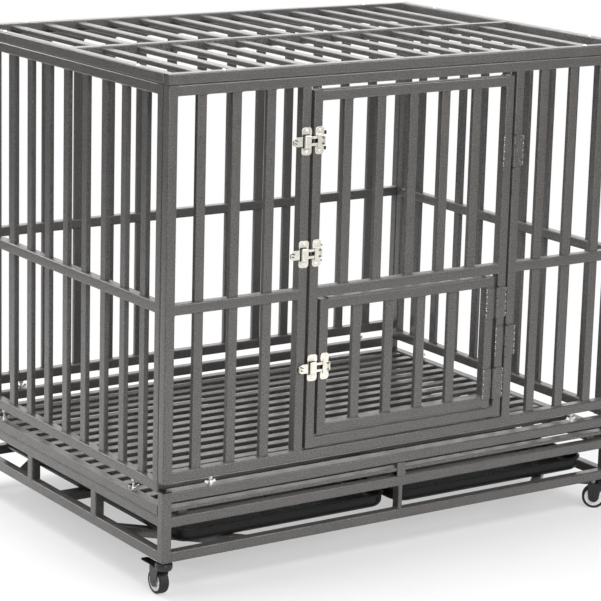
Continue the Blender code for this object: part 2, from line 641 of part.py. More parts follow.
def latch_bolt(name, edge, handle_end):
    # Flat bolt with a housing over the stud; it is drawn back, so the stud is in the wide hole
    half = BOLT_HEIGHT / 2
    hole_radius = STUD_HEAD_RADIUS + STUD_CLEARANCE
    housing_left = -hole_radius - HOUSING_WALL
    housing_right = BOLT_THROW + hole_radius + HOUSING_WALL
    bridge_right = edge + BRIDGE_FROM_EDGE + BRIDGE_WIDTH
    stop_left = bridge_right + BOLT_THROW + BOLT_CLEARANCE
    stop_right = stop_left + BOLT_STOP_THICKNESS
    bolt = solid_from_boxes(name, [
        front_box(handle_end, stop_right, -half, half, BOLT_BACK, BOLT_FACE),
        front_box(handle_end, handle_end + BOLT_LIP_THICKNESS, -half, half, BOLT_BACK, HOUSING_FACE),
        front_box(stop_left, stop_right, -half, half, BOLT_BACK,
                  BOLT_FACE + BOLT_CLEARANCE + 2 * BRIDGE_THICKNESS),
        front_box(housing_left, housing_right, -HOUSING_HEIGHT / 2, HOUSING_HEIGHT / 2,
                  BOLT_BACK, HOUSING_FACE),
    ])
    # Towards the door the bolt is slotted into two prongs
    prong_slot = solid_from_boxes(name + "_prongs", [
        front_box(housing_right + PRONG_SLOT_FROM_HOUSING, stop_left - PRONG_SLOT_FROM_STOP,
                  -PRONG_SLOT_HEIGHT / 2, PRONG_SLOT_HEIGHT / 2, PLATE_FACE, HOUSING_FACE)])
    combine(bolt, prong_slot, "DIFFERENCE")
    inside = HOUSING_FACE - HOUSING_WALL
    room = cylinder(name + "_room", hole_radius, (0, -BOLT_FACE, 0), (0, -inside, 0))
    combine(room, solid_from_boxes(name + "_room_middle", [
        front_box(0, BOLT_THROW, -hole_radius, hole_radius, BOLT_FACE, inside)]), "UNION")
    combine(room, cylinder(name + "_room_end", hole_radius, (BOLT_THROW, -BOLT_FACE, 0),
                           (BOLT_THROW, -inside, 0)), "UNION")
    # The sheet behind the room has a keyhole: wide where the bolt rests, narrow where it locks
    slot_radius = STUD_NECK_RADIUS + BOLT_CLEARANCE
    outside = BOLT_BACK - BOLT_CLEARANCE / 2
    overlap = BOLT_FACE + BOLT_CLEARANCE
    combine(bolt, room, "DIFFERENCE")
    combine(bolt, cylinder(name + "_keyhole", hole_radius, (0, -outside, 0), (0, -overlap, 0)),
            "DIFFERENCE")
    combine(bolt, solid_from_boxes(name + "_slot", [
        front_box(0, BOLT_THROW, -slot_radius, slot_radius, outside, overlap)]), "DIFFERENCE")
    combine(bolt, cylinder(name + "_slot_end", slot_radius, (BOLT_THROW, -outside, 0),
                           (BOLT_THROW, -overlap, 0)), "DIFFERENCE")
    return bolt


def slide_latch(name, stud_x, level, door_edge, post_parent, door_parent):
    # The stud's centre is the latch's own origin; the door's edge lies to its right
    edge = door_edge - stud_x
    handle_end = -(TUBE - STUD_FROM_EDGE) - BOLT_OVERHANG
    catch = latch_catch(name + "_catch")
    guide = latch_guide(name + "_guide", edge)
    bolt = latch_bolt(name + "_bolt", edge, handle_end)
    for obj, parent in ((catch, post_parent), (guide, door_parent), (bolt, door_parent)):
        place_node(shade(obj), "nickel", parent)
        corner = Vector(parent.get("crate_position", (0, 0, 0)))
        obj.location = Vector((stud_x, 0, level)) - corner


def rounded_rectangle(x_from, x_to, y_from, y_to, radius, z):
    points = []
    for centre, start in (((x_to - radius, y_from + radius), -90), ((x_to - radius, y_to - radius), 0),
                          ((x_from + radius, y_to - radius), 90), ((x_from + radius, y_from + radius), 180)):
        points += arc(centre, radius, start, start + 90, TRAY_CORNER_STEPS)
    return [(x, y, z) for x, y in points]


def tray(name, x_from, crate):
    # An open pan that stands on the lower rails: each ring of points is a rounded rectangle,
    # drawn in by its inset at its level, up the outside, over the rim and down the inside
    x_to = x_from + TRAY_WIDTH
    y_from = TUBE + TRAY_CLEARANCE
    y_to = DEPTH - TUBE - TRAY_CLEARANCE
    floor_under = TUBE + FIT
    rim_top = floor_under + TRAY_HEIGHT
    rim_under = rim_top - TRAY_RIM_THICKNESS
    foot = (TRAY_RIM_WIDTH + TRAY_EDGE_RADIUS, floor_under + TRAY_EDGE_RADIUS)
    rings = [(2 * foot[0] - inset, level)
             for inset, level in arc(foot, TRAY_EDGE_RADIUS, -90, 0, TRAY_EDGE_STEPS)]
    rings += [(TRAY_RIM_WIDTH, rim_under), (0, rim_under), (0, rim_top),
              (TRAY_RIM_WIDTH + TRAY_WALL, rim_top)]
    rings += [(2 * foot[0] - inset, level)
              for inset, level in arc(foot, TRAY_EDGE_RADIUS - TRAY_WALL, 0, -90, TRAY_EDGE_STEPS)]
    bm = bmesh.new()
    loops = []
    for inset, level in rings:
        radius = TRAY_CORNER_RADIUS + TRAY_RIM_WIDTH - inset
        outline = rounded_rectangle(x_from + inset, x_to - inset, y_from + inset, y_to - inset,
                                    radius, level)
        loops.append([bm.verts.new(point) for point in outline])
    for lower, upper in zip(loops, loops[1:]):
        for number in range(len(lower)):
            after = (number + 1) % len(lower)
            bm.faces.new((lower[number], lower[after], upper[after], upper[number]))
    bm.faces.new(reversed(loops[0]))
    bm.faces.new(loops[-1])
    place_node(shade(object_from_bmesh(name, bm)), "black_plastic", crate,
               origin=((x_from + x_to) / 2, y_from, floor_under))


def caster_mount(name):
    # Flange and bearing under the corner post, with the king pin that the fork turns on
    post = CASTER_HEIGHT - FIT
    flange = post - MOUNT_FLANGE_HEIGHT
    shoulder = FORK_TOP_LEVEL + FIT
    head_top = FORK_TOP_LEVEL - FORK_PLATE - FIT
    head_end = head_top - KINGPIN_HEAD_HEIGHT
    return turned_solid(name, [(0, post), (MOUNT_FLANGE_RADIUS, post), (MOUNT_FLANGE_RADIUS, flange),
                               (MOUNT_HUB_RADIUS, flange), (MOUNT_HUB_RADIUS, shoulder),
                               (KINGPIN_RADIUS, shoulder), (KINGPIN_RADIUS, head_top),
                               (KINGPIN_HEAD_RADIUS, head_top), (KINGPIN_HEAD_RADIUS, head_end),
                               (0, head_end)], SIDES_SMALL)


def caster_fork(name, with_pedal_pin):
    # Sheet fork: a top plate with the king pin's hole, a leg on each side and the riveted axle
    half = CASTER_REACH
    under = FORK_TOP_LEVEL - FORK_PLATE
    outline = arc((0, 0), half, 180, 360, SIDES_SMALL // 2)
    outline += [(half, FORK_PLATE_END), (-half, FORK_PLATE_END)]
    bm = bmesh.new()
    face = bm.faces.new([bm.verts.new((x, y, under)) for x, y in outline])
    grown = bmesh.ops.extrude_face_region(bm, geom=[face])
    moved = [item for item in grown["geom"] if isinstance(item, bmesh.types.BMVert)]
    bmesh.ops.translate(bm, verts=moved, vec=(0, 0, FORK_PLATE))
    fork = object_from_bmesh(name, bm)
    combine(fork, cylinder(name + "_hole", KINGPIN_RADIUS + KINGPIN_CLEARANCE,
                           (0, 0, under - FORK_PLATE), (0, 0, FORK_TOP_LEVEL + FORK_PLATE)), "DIFFERENCE")
    foot = arc((CASTER_TRAIL, WHEEL_RADIUS), FORK_FOOT_RADIUS, -170, -10, SIDES_SMALL // 3)
    leg_top = FORK_TOP_LEVEL - FORK_PLATE / 2
    leg_outline = [(FORK_LEG_START, leg_top)] + foot + [(FORK_EAR_END, FORK_EAR_LEVEL),
                                                        (FORK_EAR_END, leg_top)]
    for start in (-half, half - FORK_SHEET):
        combine(fork, extruded_outline(name + "_leg", leg_outline, start, FORK_SHEET), "UNION")
    rivet = half + RIVET_HEAD
    axle_line = (CASTER_TRAIL, WHEEL_RADIUS)
    combine(fork, cylinder(name + "_axle", AXLE_RADIUS, (-rivet + RIVET_HEAD / 2, *axle_line),
                           (rivet - RIVET_HEAD / 2, *axle_line)), "UNION")
    for side in (-1, 1):
        combine(fork, cylinder(name + "_rivet", RIVET_HEAD_RADIUS,
                               (side * (half - FORK_SHEET / 2), *axle_line),
                               (side * rivet, *axle_line)), "UNION")
    if with_pedal_pin:
        pivot = (CASTER_TRAIL + PEDAL_PIVOT_BEHIND_AXLE, PEDAL_PIVOT_LEVEL)
        reach = half - FORK_SHEET / 2
        combine(fork, cylinder(name + "_pedal_pin", PEDAL_PIN_RADIUS, (-reach, *pivot),
                               (reach, *pivot), SIDES_SMALL // 2), "UNION")
    return fork


def wheel_hub(name):
    half = WHEEL_WIDTH / 2 - FORK_CLEARANCE
    outer = WHEEL_RADIUS - TYRE_THICKNESS - HUB_TYRE_GAP
    inner = AXLE_RADIUS + AXLE_CLEARANCE
    return turned_ring(name, [(inner, -half), (outer, -half), (outer, half), (inner, half)], SIDES_LARGE)


def wheel_tyre(name):
    half = WHEEL_WIDTH / 2
    inner = WHEEL_RADIUS - TYRE_THICKNESS
    chamfer = TYRE_THICKNESS / 4
    return turned_ring(name, [(inner, -half), (WHEEL_RADIUS - chamfer, -half),
                              (WHEEL_RADIUS, -half + chamfer), (WHEEL_RADIUS, half - chamfer),
                              (WHEEL_RADIUS - chamfer, half), (inner, half)], SIDES_LARGE)


def brake_pedal(name):
    # A barrel on the fork's pin with a plate behind it; the pivot is the mesh's origin
    half = PEDAL_WIDTH / 2
    plate_under = PEDAL_BARREL_RADIUS - PEDAL_THICKNESS
    pedal = solid_from_boxes(name, [box(-half, half, 0, PEDAL_LENGTH, plate_under, PEDAL_BARREL_RADIUS)])
    combine(pedal, cylinder(name + "_barrel", PEDAL_BARREL_RADIUS + FIT / 4, (-half - FIT, 0, 0),
                            (half + FIT, 0, 0)), "UNION")
    return combine(pedal, cylinder(name + "_bore", PEDAL_PIN_RADIUS + PEDAL_PIN_CLEARANCE,
                                   (-2 * half, 0, 0), (2 * half, 0, 0)), "DIFFERENCE")


def caster(name, x, y, angle, with_pedal):
    swivel = empty_at("caster_" + name, (x, y, 0), None, math.radians(angle))
    place_node(shade(caster_mount("caster_" + name + "_mount")), "zinc", swivel)
    place_node(shade(caster_fork("caster_" + name + "_fork", with_pedal)), "zinc", swivel)
    axle = (0, CASTER_TRAIL, WHEEL_RADIUS)
    for part, finish in ((wheel_hub("caster_" + name + "_hub"), "grey_plastic"),
                         (wheel_tyre("caster_" + name + "_tyre"), "rubber")):
        part.data.transform(Matrix.Rotation(math.radians(90), 4, "Y"))
        place_node(shade(part), finish, swivel)
        part.location = axle
    if with_pedal:
        pedal = place_node(shade(brake_pedal("caster_" + name + "_pedal")), "zinc", swivel)
        pedal.location = (0, CASTER_TRAIL + PEDAL_PIVOT_BEHIND_AXLE, PEDAL_PIVOT_LEVEL)


def casters():
    places = {"left": -LENGTH / 2 + CASTER_INSET, "right": LENGTH / 2 - CASTER_INSET,
              "front": FRONT_Y + CASTER_INSET, "back": FRONT_Y + DEPTH - CASTER_INSET}
    for name, angle in CASTER_ANGLES.items():
        end, side = name.split("_")
        caster(name, places[side], places[end], angle, end == "front")


def panel_spacers(crate):
    # Screws with their nuts, standing between the base and the panels above it
    middle = TUBE / 2
    stands = {}
    for side, x in (("left", FRONT_SPACER_FROM_END), ("right", LENGTH - FRONT_SPACER_FROM_END)):
        for end, y in (("front", middle), ("back", DEPTH - middle)):
            stands["spacer_" + end + "_" + side] = (x, y, BASE_HEIGHT, FRONT_PANEL_LEVEL)
    for end, y in (("front", SIDE_SPACER_FROM_END), ("back", DEPTH - SIDE_SPACER_FROM_END)):
        for side, x in (("left", middle), ("right", LENGTH - middle)):
            stands["spacer_side_" + end + "_" + side] = (x, y, FLOOR_RAIL_TOP, SIDE_PANEL_LEVEL)
    for name, (x, y, z_from, z_to) in stands.items():
        spacer = cylinder(name, SPACER_RADIUS, (x, y, z_from + FIT), (x, y, z_to - FIT), SIDES_SMALL // 2)
        place_node(spacer, "zinc", crate)


def build_crate():
    crate = empty_at("crate", CRATE_CORNER)
    base_frame(crate)
    floor_grate(crate)
    front_panel(crate)
    back_panel(crate)
    side_panel("left_panel", 0, crate)
    side_panel("right_panel", LENGTH - TUBE, crate)
    roof_panel(crate)
    panel_spacers(crate)
    tray("left_tray", (LENGTH - CENTRE_POST_WIDTH) / 2 - TRAY_CLEARANCE - TRAY_WIDTH, crate)
    tray("right_tray", (LENGTH + CENTRE_POST_WIDTH) / 2 + TRAY_CLEARANCE, crate)
    # Each door hangs from an empty on its hinge line, which knows where it is in the crate's frame
    main_line = empty_at("main_door_hinge_line", (MAIN_HINGE_X, HINGE_Y, 0), crate)
    main_line["crate_position"] = (MAIN_HINGE_X, HINGE_Y, 0)
    feed_line = empty_at("feed_door_hinge_line", (FEED_HINGE_X - MAIN_HINGE_X, 0, 0), main_line)
    feed_line["crate_position"] = (FEED_HINGE_X, HINGE_Y, 0)
    main_door(main_line)
    feed_door(feed_line)
    for place, level in MAIN_HINGE_LEVELS.items():
        butt_hinge("main_hinge_" + place, (MAIN_HINGE_X, HINGE_Y, level), crate, main_line)
    for place, level in FEED_HINGE_LEVELS.items():
        butt_hinge("feed_hinge_" + place, (FEED_HINGE_X, HINGE_Y, level), main_line, feed_line)
    for place, level in MAIN_LATCH_LEVELS.items():
        slide_latch("latch_" + place, DOORWAY_LEFT - STUD_FROM_EDGE, level, DOOR_LEFT, crate, main_line)
    slide_latch("latch_feed", DOOR_LEFT + TUBE - STUD_FROM_EDGE, FEED_LATCH_LEVEL, FEED_LEFT,
                main_line, feed_line)
    casters()


clear_scene()
build_crate()
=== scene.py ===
import json
import math

import bmesh
import bpy
from mathutils import Matrix, Vector


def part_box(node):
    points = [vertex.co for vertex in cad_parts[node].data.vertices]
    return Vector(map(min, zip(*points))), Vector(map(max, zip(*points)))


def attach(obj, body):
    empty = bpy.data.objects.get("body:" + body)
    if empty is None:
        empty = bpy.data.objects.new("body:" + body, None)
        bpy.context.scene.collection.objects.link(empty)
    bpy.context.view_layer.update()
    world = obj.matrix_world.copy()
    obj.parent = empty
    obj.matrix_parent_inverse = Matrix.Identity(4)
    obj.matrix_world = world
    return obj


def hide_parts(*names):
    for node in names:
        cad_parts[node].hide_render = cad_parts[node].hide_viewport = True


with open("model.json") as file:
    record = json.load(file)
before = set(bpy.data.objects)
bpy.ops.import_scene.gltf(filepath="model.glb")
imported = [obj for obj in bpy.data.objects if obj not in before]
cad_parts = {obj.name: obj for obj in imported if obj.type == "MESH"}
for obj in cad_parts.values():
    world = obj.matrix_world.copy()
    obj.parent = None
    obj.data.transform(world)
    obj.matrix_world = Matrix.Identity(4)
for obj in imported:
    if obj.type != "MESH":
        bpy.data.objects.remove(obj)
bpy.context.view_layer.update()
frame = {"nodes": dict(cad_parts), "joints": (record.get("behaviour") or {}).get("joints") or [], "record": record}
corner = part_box("base_frame")[0]  # the crate's own zero: outer, left, front, underside of the base
bodyOf = {name: body for body, names in frame["record"]["behaviour"]["bodies"].items() for name in names}
jointOf = {joint["name"]: joint for joint in frame["joints"]}
print("frame loaded", len(frame["nodes"]), "nodes")


# Finishes

def makeFinish(name, look):
    material = bpy.data.materials.new(name)
    material.use_nodes = True
    nodes, links = material.node_tree.nodes, material.node_tree.links
    shader = nodes["Principled BSDF"]
    place = nodes.new("ShaderNodeTexCoord")
    mapping = nodes.new("ShaderNodeMapping")
    mapping.inputs["Scale"].default_value = look.get("stretch", (1, 1, 1))
    links.new(place.outputs["Object"], mapping.inputs["Vector"])

    def noise(scale, detail):
        texture = nodes.new("ShaderNodeTexNoise")
        texture.inputs["Scale"].default_value = scale
        texture.inputs["Detail"].default_value = detail
        links.new(mapping.outputs["Vector"], texture.inputs["Vector"])
        return texture.outputs["Fac"]

    def spread(source, low, high, fromLow=0.3, fromHigh=0.7):
        span = nodes.new("ShaderNodeMapRange")
        span.inputs["From Min"].default_value = fromLow
        span.inputs["From Max"].default_value = fromHigh
        span.inputs["To Min"].default_value = low
        span.inputs["To Max"].default_value = high
        links.new(source, span.inputs["Value"])
        return span.outputs["Result"]

    # fine speckle over broad cloudiness, both between the two tones
    both = nodes.new("ShaderNodeMath")
    both.operation = "MULTIPLY_ADD"
    both.inputs[1].default_value = look.get("cloudShare", 0.35)
    links.new(noise(look["cloud"], 3), both.inputs[0])
    grainShare = 1 - look.get("cloudShare", 0.35)
    links.new(spread(noise(look["grain"], 4), 0, grainShare, 0.25, 0.75), both.inputs[2])
    ramp = nodes.new("ShaderNodeValToRGB")
    ramp.color_ramp.elements[0].position = 0.25
    ramp.color_ramp.elements[0].color = (*look["dark"], 1)
    ramp.color_ramp.elements[1].position = 0.75
    ramp.color_ramp.elements[1].color = (*look["light"], 1)
    links.new(both.outputs["Value"], ramp.inputs["Fac"])
    links.new(ramp.outputs["Color"], shader.inputs["Base Color"])
    links.new(spread(noise(look["cloud"] * 3, 4), *look["roughness"]), shader.inputs["Roughness"])
    bump = nodes.new("ShaderNodeBump")
    bump.inputs["Strength"].default_value = look.get("bumpStrength", 0.35)
    bump.inputs["Distance"].default_value = look["bumpDepth"]
    links.new(noise(look["bumpScale"], look.get("bumpDetail", 5)), bump.inputs["Height"])
    links.new(bump.outputs["Normal"], shader.inputs["Normal"])
    shader.inputs["Metallic"].default_value = look.get("metallic", 0)
    shader.inputs["Coat Weight"].default_value = look.get("coat", 0)
    shader.inputs["Coat Roughness"].default_value = look.get("coatRoughness", 0.2)
    shader.inputs["Specular IOR Level"].default_value = look.get("specular", 0.5)
    return material


finishLooks = {
    "frame_paint": {"dark": (0.040, 0.038, 0.037), "light": (0.116, 0.110, 0.104), "cloud": 22, "grain": 380,
                    "cloudShare": 0.15, "roughness": (0.28, 0.4), "bumpScale": 420, "bumpDetail": 2,
                    "bumpDepth": 0.0004, "bumpStrength": 0.35, "metallic": 0.15, "specular": 0.55,
                    "coat": 0.35, "coatRoughness": 0.16},
    "nickel": {"dark": (0.66, 0.635, 0.565), "light": (0.93, 0.90, 0.82), "cloud": 60, "grain": 500,
               "roughness": (0.14, 0.26), "bumpScale": 420, "bumpDepth": 0.0003, "metallic": 0.6},
    # zinc of the screws, also used for the bright hinge beads that paint glints
    "zinc": {"dark": (0.45, 0.45, 0.44), "light": (0.92, 0.91, 0.88), "cloud": 90, "grain": 700,
             "roughness": (0.18, 0.34), "bumpScale": 700, "bumpDepth": 0.0003, "metallic": 0.6},
    "dark_zinc": {"dark": (0.005, 0.005, 0.005), "light": (0.02, 0.02, 0.021), "cloud": 70, "grain": 600,
                  "roughness": (0.16, 0.28), "bumpScale": 800, "bumpDepth": 0.0002, "metallic": 0.3,
                  "coat": 0.3, "coatRoughness": 0.08},
    # black plastic of the trays, plugs and pedals, also used for the black latch marks that paint shade
    "black_plastic": {"dark": (0.0055, 0.0056, 0.0062), "light": (0.012, 0.0122, 0.013), "cloud": 9,
                      "grain": 500, "roughness": (0.24, 0.36), "bumpScale": 900, "bumpDepth": 0.0002,
                      "bumpStrength": 0.25, "specular": 0.2},
    "grey_plastic": {"dark": (0.56, 0.56, 0.54), "light": (0.74, 0.74, 0.72), "cloud": 60, "grain": 400,
                     "roughness": (0.32, 0.48), "bumpScale": 900, "bumpDepth": 0.0002},
    "rubber": {"dark": (0.009, 0.009, 0.009), "light": (0.024, 0.024, 0.024), "cloud": 50, "grain": 600,
               "roughness": (0.45, 0.65), "bumpScale": 900, "bumpDepth": 0.0003, "specular": 0.3},
}
finishes = {name: makeFinish(name, look) for name, look in finishLooks.items()}
print("finishes made", len(finishes))


# Shapes that the pieces are made of

def addTo(bm, part):
    scratch = bpy.data.meshes.new("scratch")
    part.to_mesh(scratch)
    part.free()
    bm.from_mesh(scratch)
    bpy.data.meshes.remove(scratch)


def bevelEdges(part, edges, radius, segments):
    bmesh.ops.bevel(part, geom=edges, offset=radius, offset_type="OFFSET", segments=segments,
                    profile=0.5, affect="EDGES", clamp_overlap=True, material=-1)


def softBox(bm, low, high, radius, segments=3, along=None, every=False, turn=None):
    # a box with its long edges rounded, or those along one axis, or all of them
    low, high = Vector(low), Vector(high)
    size = high - low
    part = bmesh.new()
    bmesh.ops.create_cube(part, size=1)
    bmesh.ops.scale(part, vec=size, verts=part.verts)
    axis = max(range(3), key=lambda number: size[number]) if along is None else along
    chosen = [edge for edge in part.edges
              if every or abs((edge.verts[0].co - edge.verts[1].co)[axis]) > size[axis] / 2]
    bevelEdges(part, chosen, radius, segments)
    if turn is not None:
        bmesh.ops.transform(part, matrix=turn, verts=part.verts)
    bmesh.ops.translate(part, vec=(low + high) / 2, verts=part.verts)
    addTo(bm, part)


def turned(bm, profile, at=(0, 0, 0), axis=(0, 0, 1), steps=24, closed=False):
    # a profile of radius and height points spun round its axis
    part = bmesh.new()
    verts = [part.verts.new((radius, 0, height)) for radius, height in profile]
    pairs = list(zip(verts, verts[1:])) + ([(verts[-1], verts[0])] if closed else [])
    edges = [part.edges.new(pair) for pair in pairs]
    bmesh.ops.spin(part, geom=verts + edges, cent=(0, 0, 0), axis=(0, 0, 1), angle=math.tau,
                   steps=steps, use_merge=True)
    bmesh.ops.remove_doubles(part, verts=part.verts, dist=0.000005)
    turn = Vector((0, 0, 1)).rotation_difference(Vector(axis)).to_matrix().to_4x4()
    bmesh.ops.transform(part, matrix=Matrix.Translation(at) @ turn, verts=part.verts)
    bmesh.ops.recalc_face_normals(part, faces=part.faces)
    addTo(bm, part)


def plate(bm, outline, thickness, radius, at=(0, 0, 0), turn=None, segments=2):
    # a flat outline given a thickness and softened round its rims; it lies in XY, rising along Z
    part = bmesh.new()
    verts = [part.verts.new((x, y, 0)) for x, y in outline]
    bmesh.ops.contextual_create(part, geom=verts)
    grown = bmesh.ops.extrude_face_region(part, geom=part.faces[:])
    moved = [item for item in grown["geom"] if isinstance(item, bmesh.types.BMVert)]
    bmesh.ops.translate(part, vec=(0, 0, thickness), verts=moved)
    rims = [edge for edge in part.edges if abs(edge.verts[0].co.z - edge.verts[1].co.z) < thickness / 2]
    bmesh.ops.recalc_face_normals(part, faces=part.faces)
    if radius:
        bevelEdges(part, rims, radius, segments)
    place = Matrix.Translation(at) @ (turn if turn is not None else Matrix.Identity(4))
    bmesh.ops.transform(part, matrix=place, verts=part.verts)
    bmesh.ops.recalc_face_normals(part, faces=part.faces)
    addTo(bm, part)


def roundedOutline(width, height, radius, steps=5):
    points = []
    for centreX, centreY, start in ((width / 2 - radius, height / 2 - radius, 0),
                                    (radius - width / 2, height / 2 - radius, 90),
                                    (radius - width / 2, radius - height / 2, 180),
                                    (width / 2 - radius, radius - height / 2, 270)):
        for step in range(steps + 1):
            angle = math.radians(start + 90 * step / steps)
            points.append((centreX + radius * math.cos(angle), centreY + radius * math.sin(angle)))
    return points


def arcPoints(centreX, centreY, radius, start, end, steps):
    angles = [math.radians(start + (end - start) * step / steps) for step in range(steps + 1)]
    return [(centreX + radius * math.cos(angle), centreY + radius * math.sin(angle)) for angle in angles]


facing = {"front": Matrix.Rotation(math.radians(90), 4, "X")}  # a plate's thickness points to -Y


def finishPiece(name, bm, finish, body, replaced=(), place=None, sharpAngle=38):
    if place is None:
        place = Matrix.Translation(corner)
    bmesh.ops.transform(bm, matrix=place, verts=bm.verts)
    mesh = bpy.data.meshes.new(name)
    bm.to_mesh(mesh)
    bm.free()
    mesh.shade_smooth()
    mesh.set_sharp_from_angle(angle=math.radians(sharpAngle))
    mesh.materials.append(finishes[finish])
    piece = bpy.data.objects.new(name, mesh)
    bpy.context.scene.collection.objects.link(piece)
    even = piece.modifiers.new("evenShading", "WEIGHTED_NORMAL")
    even.keep_sharp = True
    even.weight = 80
    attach(piece, body)
    if replaced:
        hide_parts(*replaced)
    return piece


# Tube work: every panel is a list of frame tubes and infill bars, with its weld beads

tubeWork = {"tube": 0.020, "barThickness": 0.010, "tubeRounding": 0.0027, "barRounding": 0.0019,
            "sunk": 0.0023, "beadRadius": 0.0019, "collarReach": 0.0015, "collarHeight": 0.0013}
panelLevels = {"front": (0.1525, 0.8846), "side": (0.132, 0.8846), "middle": 0.4665}
crateSize = {"length": 1.080, "depth": 0.770, "height": 0.905}
tube = tubeWork["tube"]


def frameTube(bm, low, high, sinkAxis=None, welds=None):
    # a tube that butts on others is let a little way into their rounded edges
    low, high = list(low), list(high)
    if sinkAxis is not None:
        low[sinkAxis] -= tubeWork["sunk"]
        high[sinkAxis] += tubeWork["sunk"]
    softBox(bm, low, high, tubeWork["tubeRounding"], 3)
    if welds is None or sinkAxis is None:
        return
    # fillet beads on both sides of each butt, running across the tube
    across = welds
    other = 3 - sinkAxis - across
    for end in (low[sinkAxis] + tubeWork["sunk"], high[sinkAxis] - tubeWork["sunk"]):
        for side in (low[other], high[other]):
            bead(bm, sinkAxis, end, other, side, across, (low[across] + high[across]) / 2,
                 high[across] - low[across])


def bead(bm, axisA, valueA, axisB, valueB, across, middle, length):
    # a rippled run of weld lying in an inside corner
    part = bmesh.new()
    bmesh.ops.create_uvsphere(part, u_segments=8, v_segments=14, radius=1)
    half = length / 2 - 0.0012
    for vert in part.verts:
        ripple = 1 + 0.12 * math.sin(vert.co.z * 17)
        rim = min(1.0, 1.7 * math.sqrt(max(0.0, 1 - vert.co.z ** 2)))
        girth = math.hypot(vert.co.x, vert.co.y) or 1
        vert.co.x *= tubeWork["beadRadius"] * ripple * rim / girth
        vert.co.y *= tubeWork["beadRadius"] * ripple * rim / girth
        vert.co.z *= half
    direction = [0, 0, 0]
    direction[across] = 1
    turn = Vector((0, 0, 1)).rotation_difference(Vector(direction)).to_matrix().to_4x4()
    spot = [0, 0, 0]
    spot[axisA], spot[axisB], spot[across] = valueA, valueB, middle
    bmesh.ops.transform(part, matrix=Matrix.Translation(spot) @ turn, verts=part.verts)
    addTo(bm, part)


def infillBar(bm, low, high, axis):
    # a flat bar between two rails, with a collar of weld at each end
    softBox(bm, low, high, tubeWork["barRounding"], 3, along=axis)
    for end in (low[axis], high[axis]):
        collarLow = [value - tubeWork["collarReach"] for value in low]
        collarHigh = [value + tubeWork["collarReach"] for value in high]
        collarLow[axis] = end - tubeWork["collarHeight"]
        collarHigh[axis] = end + tubeWork["collarHeight"]
        softBox(bm, collarLow, collarHigh, tubeWork["collarHeight"] * 0.95, 2, every=True)


def barEdges(count, pitch, middle):
    first = middle - pitch * (count - 1) / 2 - tube / 2
    return [first + pitch * number for number in range(count)]


def wallPanel(name, node, lineAxis, offset, ends, levels, bars, rails=(), posts=(), bayRails=()):
    # an upright panel: lineAxis is the horizontal way it runs, offset its outer face on the other
    bm = bmesh.new()
    depthAxis = 1 - lineAxis

    def corners(lineFrom, lineTo, zFrom, zTo, depthFrom=0.0, depthTo=tube):
        low, high = [0, 0, zFrom], [0, 0, zTo]
        low[lineAxis], high[lineAxis] = lineFrom, lineTo
        low[depthAxis], high[depthAxis] = offset + depthFrom, offset + depthTo
        return low, high

    bottom, top = levels
    for post in (ends[0], ends[1] - tube):
        frameTube(bm, *corners(post, post + tube, bottom, top))
    for level in (bottom, top - tube):
        frameTube(bm, *corners(ends[0] + tube, ends[1] - tube, level, level + tube), lineAxis, depthAxis)
    for level in rails:
        frameTube(bm, *corners(ends[0] + tube, ends[1] - tube, level, level + tube), lineAxis, depthAxis)
    for post in posts:
        frameTube(bm, *corners(post, post + tube, bottom + tube, top - tube), 2, depthAxis)
    for lineFrom, lineTo, level in bayRails:
        frameTube(bm, *corners(lineFrom, lineTo, level, level + tube), lineAxis, depthAxis)
    inset = (tube - tubeWork["barThickness"]) / 2
    for edge, zFrom, zTo in bars:
        infillBar(bm, *corners(edge, edge + tube, zFrom, zTo, inset, tube - inset), 2)
    return finishPiece(name, bm, "frame_paint", bodyOf[node], (node,))


length, depth = crateSize["length"], crateSize["depth"]
frontBottom, panelTop = panelLevels["front"]
sideBottom = panelLevels["side"][0]
middleRail = panelLevels["middle"]
doorway = {"left": 0.305, "right": 0.7835}

frontWall = {"firstBar": 0.063, "pitch": 0.074, "count": 3}
frontBars = []
for number in range(frontWall["count"]):
    edge = frontWall["firstBar"] + frontWall["pitch"] * number
    for mirrored in (edge, length - edge - tube):
        frontBars.append((mirrored, frontBottom + tube, panelTop - tube))
wallPanel("frontWall", "front_panel", 0, 0, (0, length), (frontBottom, panelTop), frontBars,
          posts=(doorway["left"] - tube, doorway["right"]),
          bayRails=((tube, doorway["left"] - tube, middleRail),
                    (doorway["right"] + tube, length - tube, middleRail)))

backWall = {"pitch": 0.075, "count": 13}
backBars = [(edge, frontBottom + tube, panelTop - tube)
            for edge in barEdges(backWall["count"], backWall["pitch"], length / 2)]
wallPanel("backWall", "back_panel", 0, depth - tube, (0, length), (frontBottom, panelTop), backBars,
          rails=(middleRail,))

sideWall = {"pitch": 0.0733, "count": 9, "gap": 0.0004}
sideEnds = (tube + sideWall["gap"], depth - tube - sideWall["gap"])
sideBars = [(edge, sideBottom + tube, panelTop - tube)
            for edge in barEdges(sideWall["count"], sideWall["pitch"], depth / 2)]
for name, node, offset in (("leftWall", "left_panel", 0), ("rightWall", "right_panel", length - tube)):
    wallPanel(name, node, 1, offset, sideEnds, (sideBottom, panelTop), sideBars, rails=(middleRail,))

mainDoor = {"ends": (0.311, 0.779), "levels": (0.1755, 0.8571), "firstBar": 0.3825, "pitch": 0.07525,
            "count": 5}
mainBars = [(mainDoor["firstBar"] + mainDoor["pitch"] * number, middleRail + tube,
             mainDoor["levels"][1] - tube)
            for number in range(mainDoor["count"])]
wallPanel("mainDoor", "main_door", 0, 0, mainDoor["ends"], mainDoor["levels"], mainBars, rails=(middleRail,))

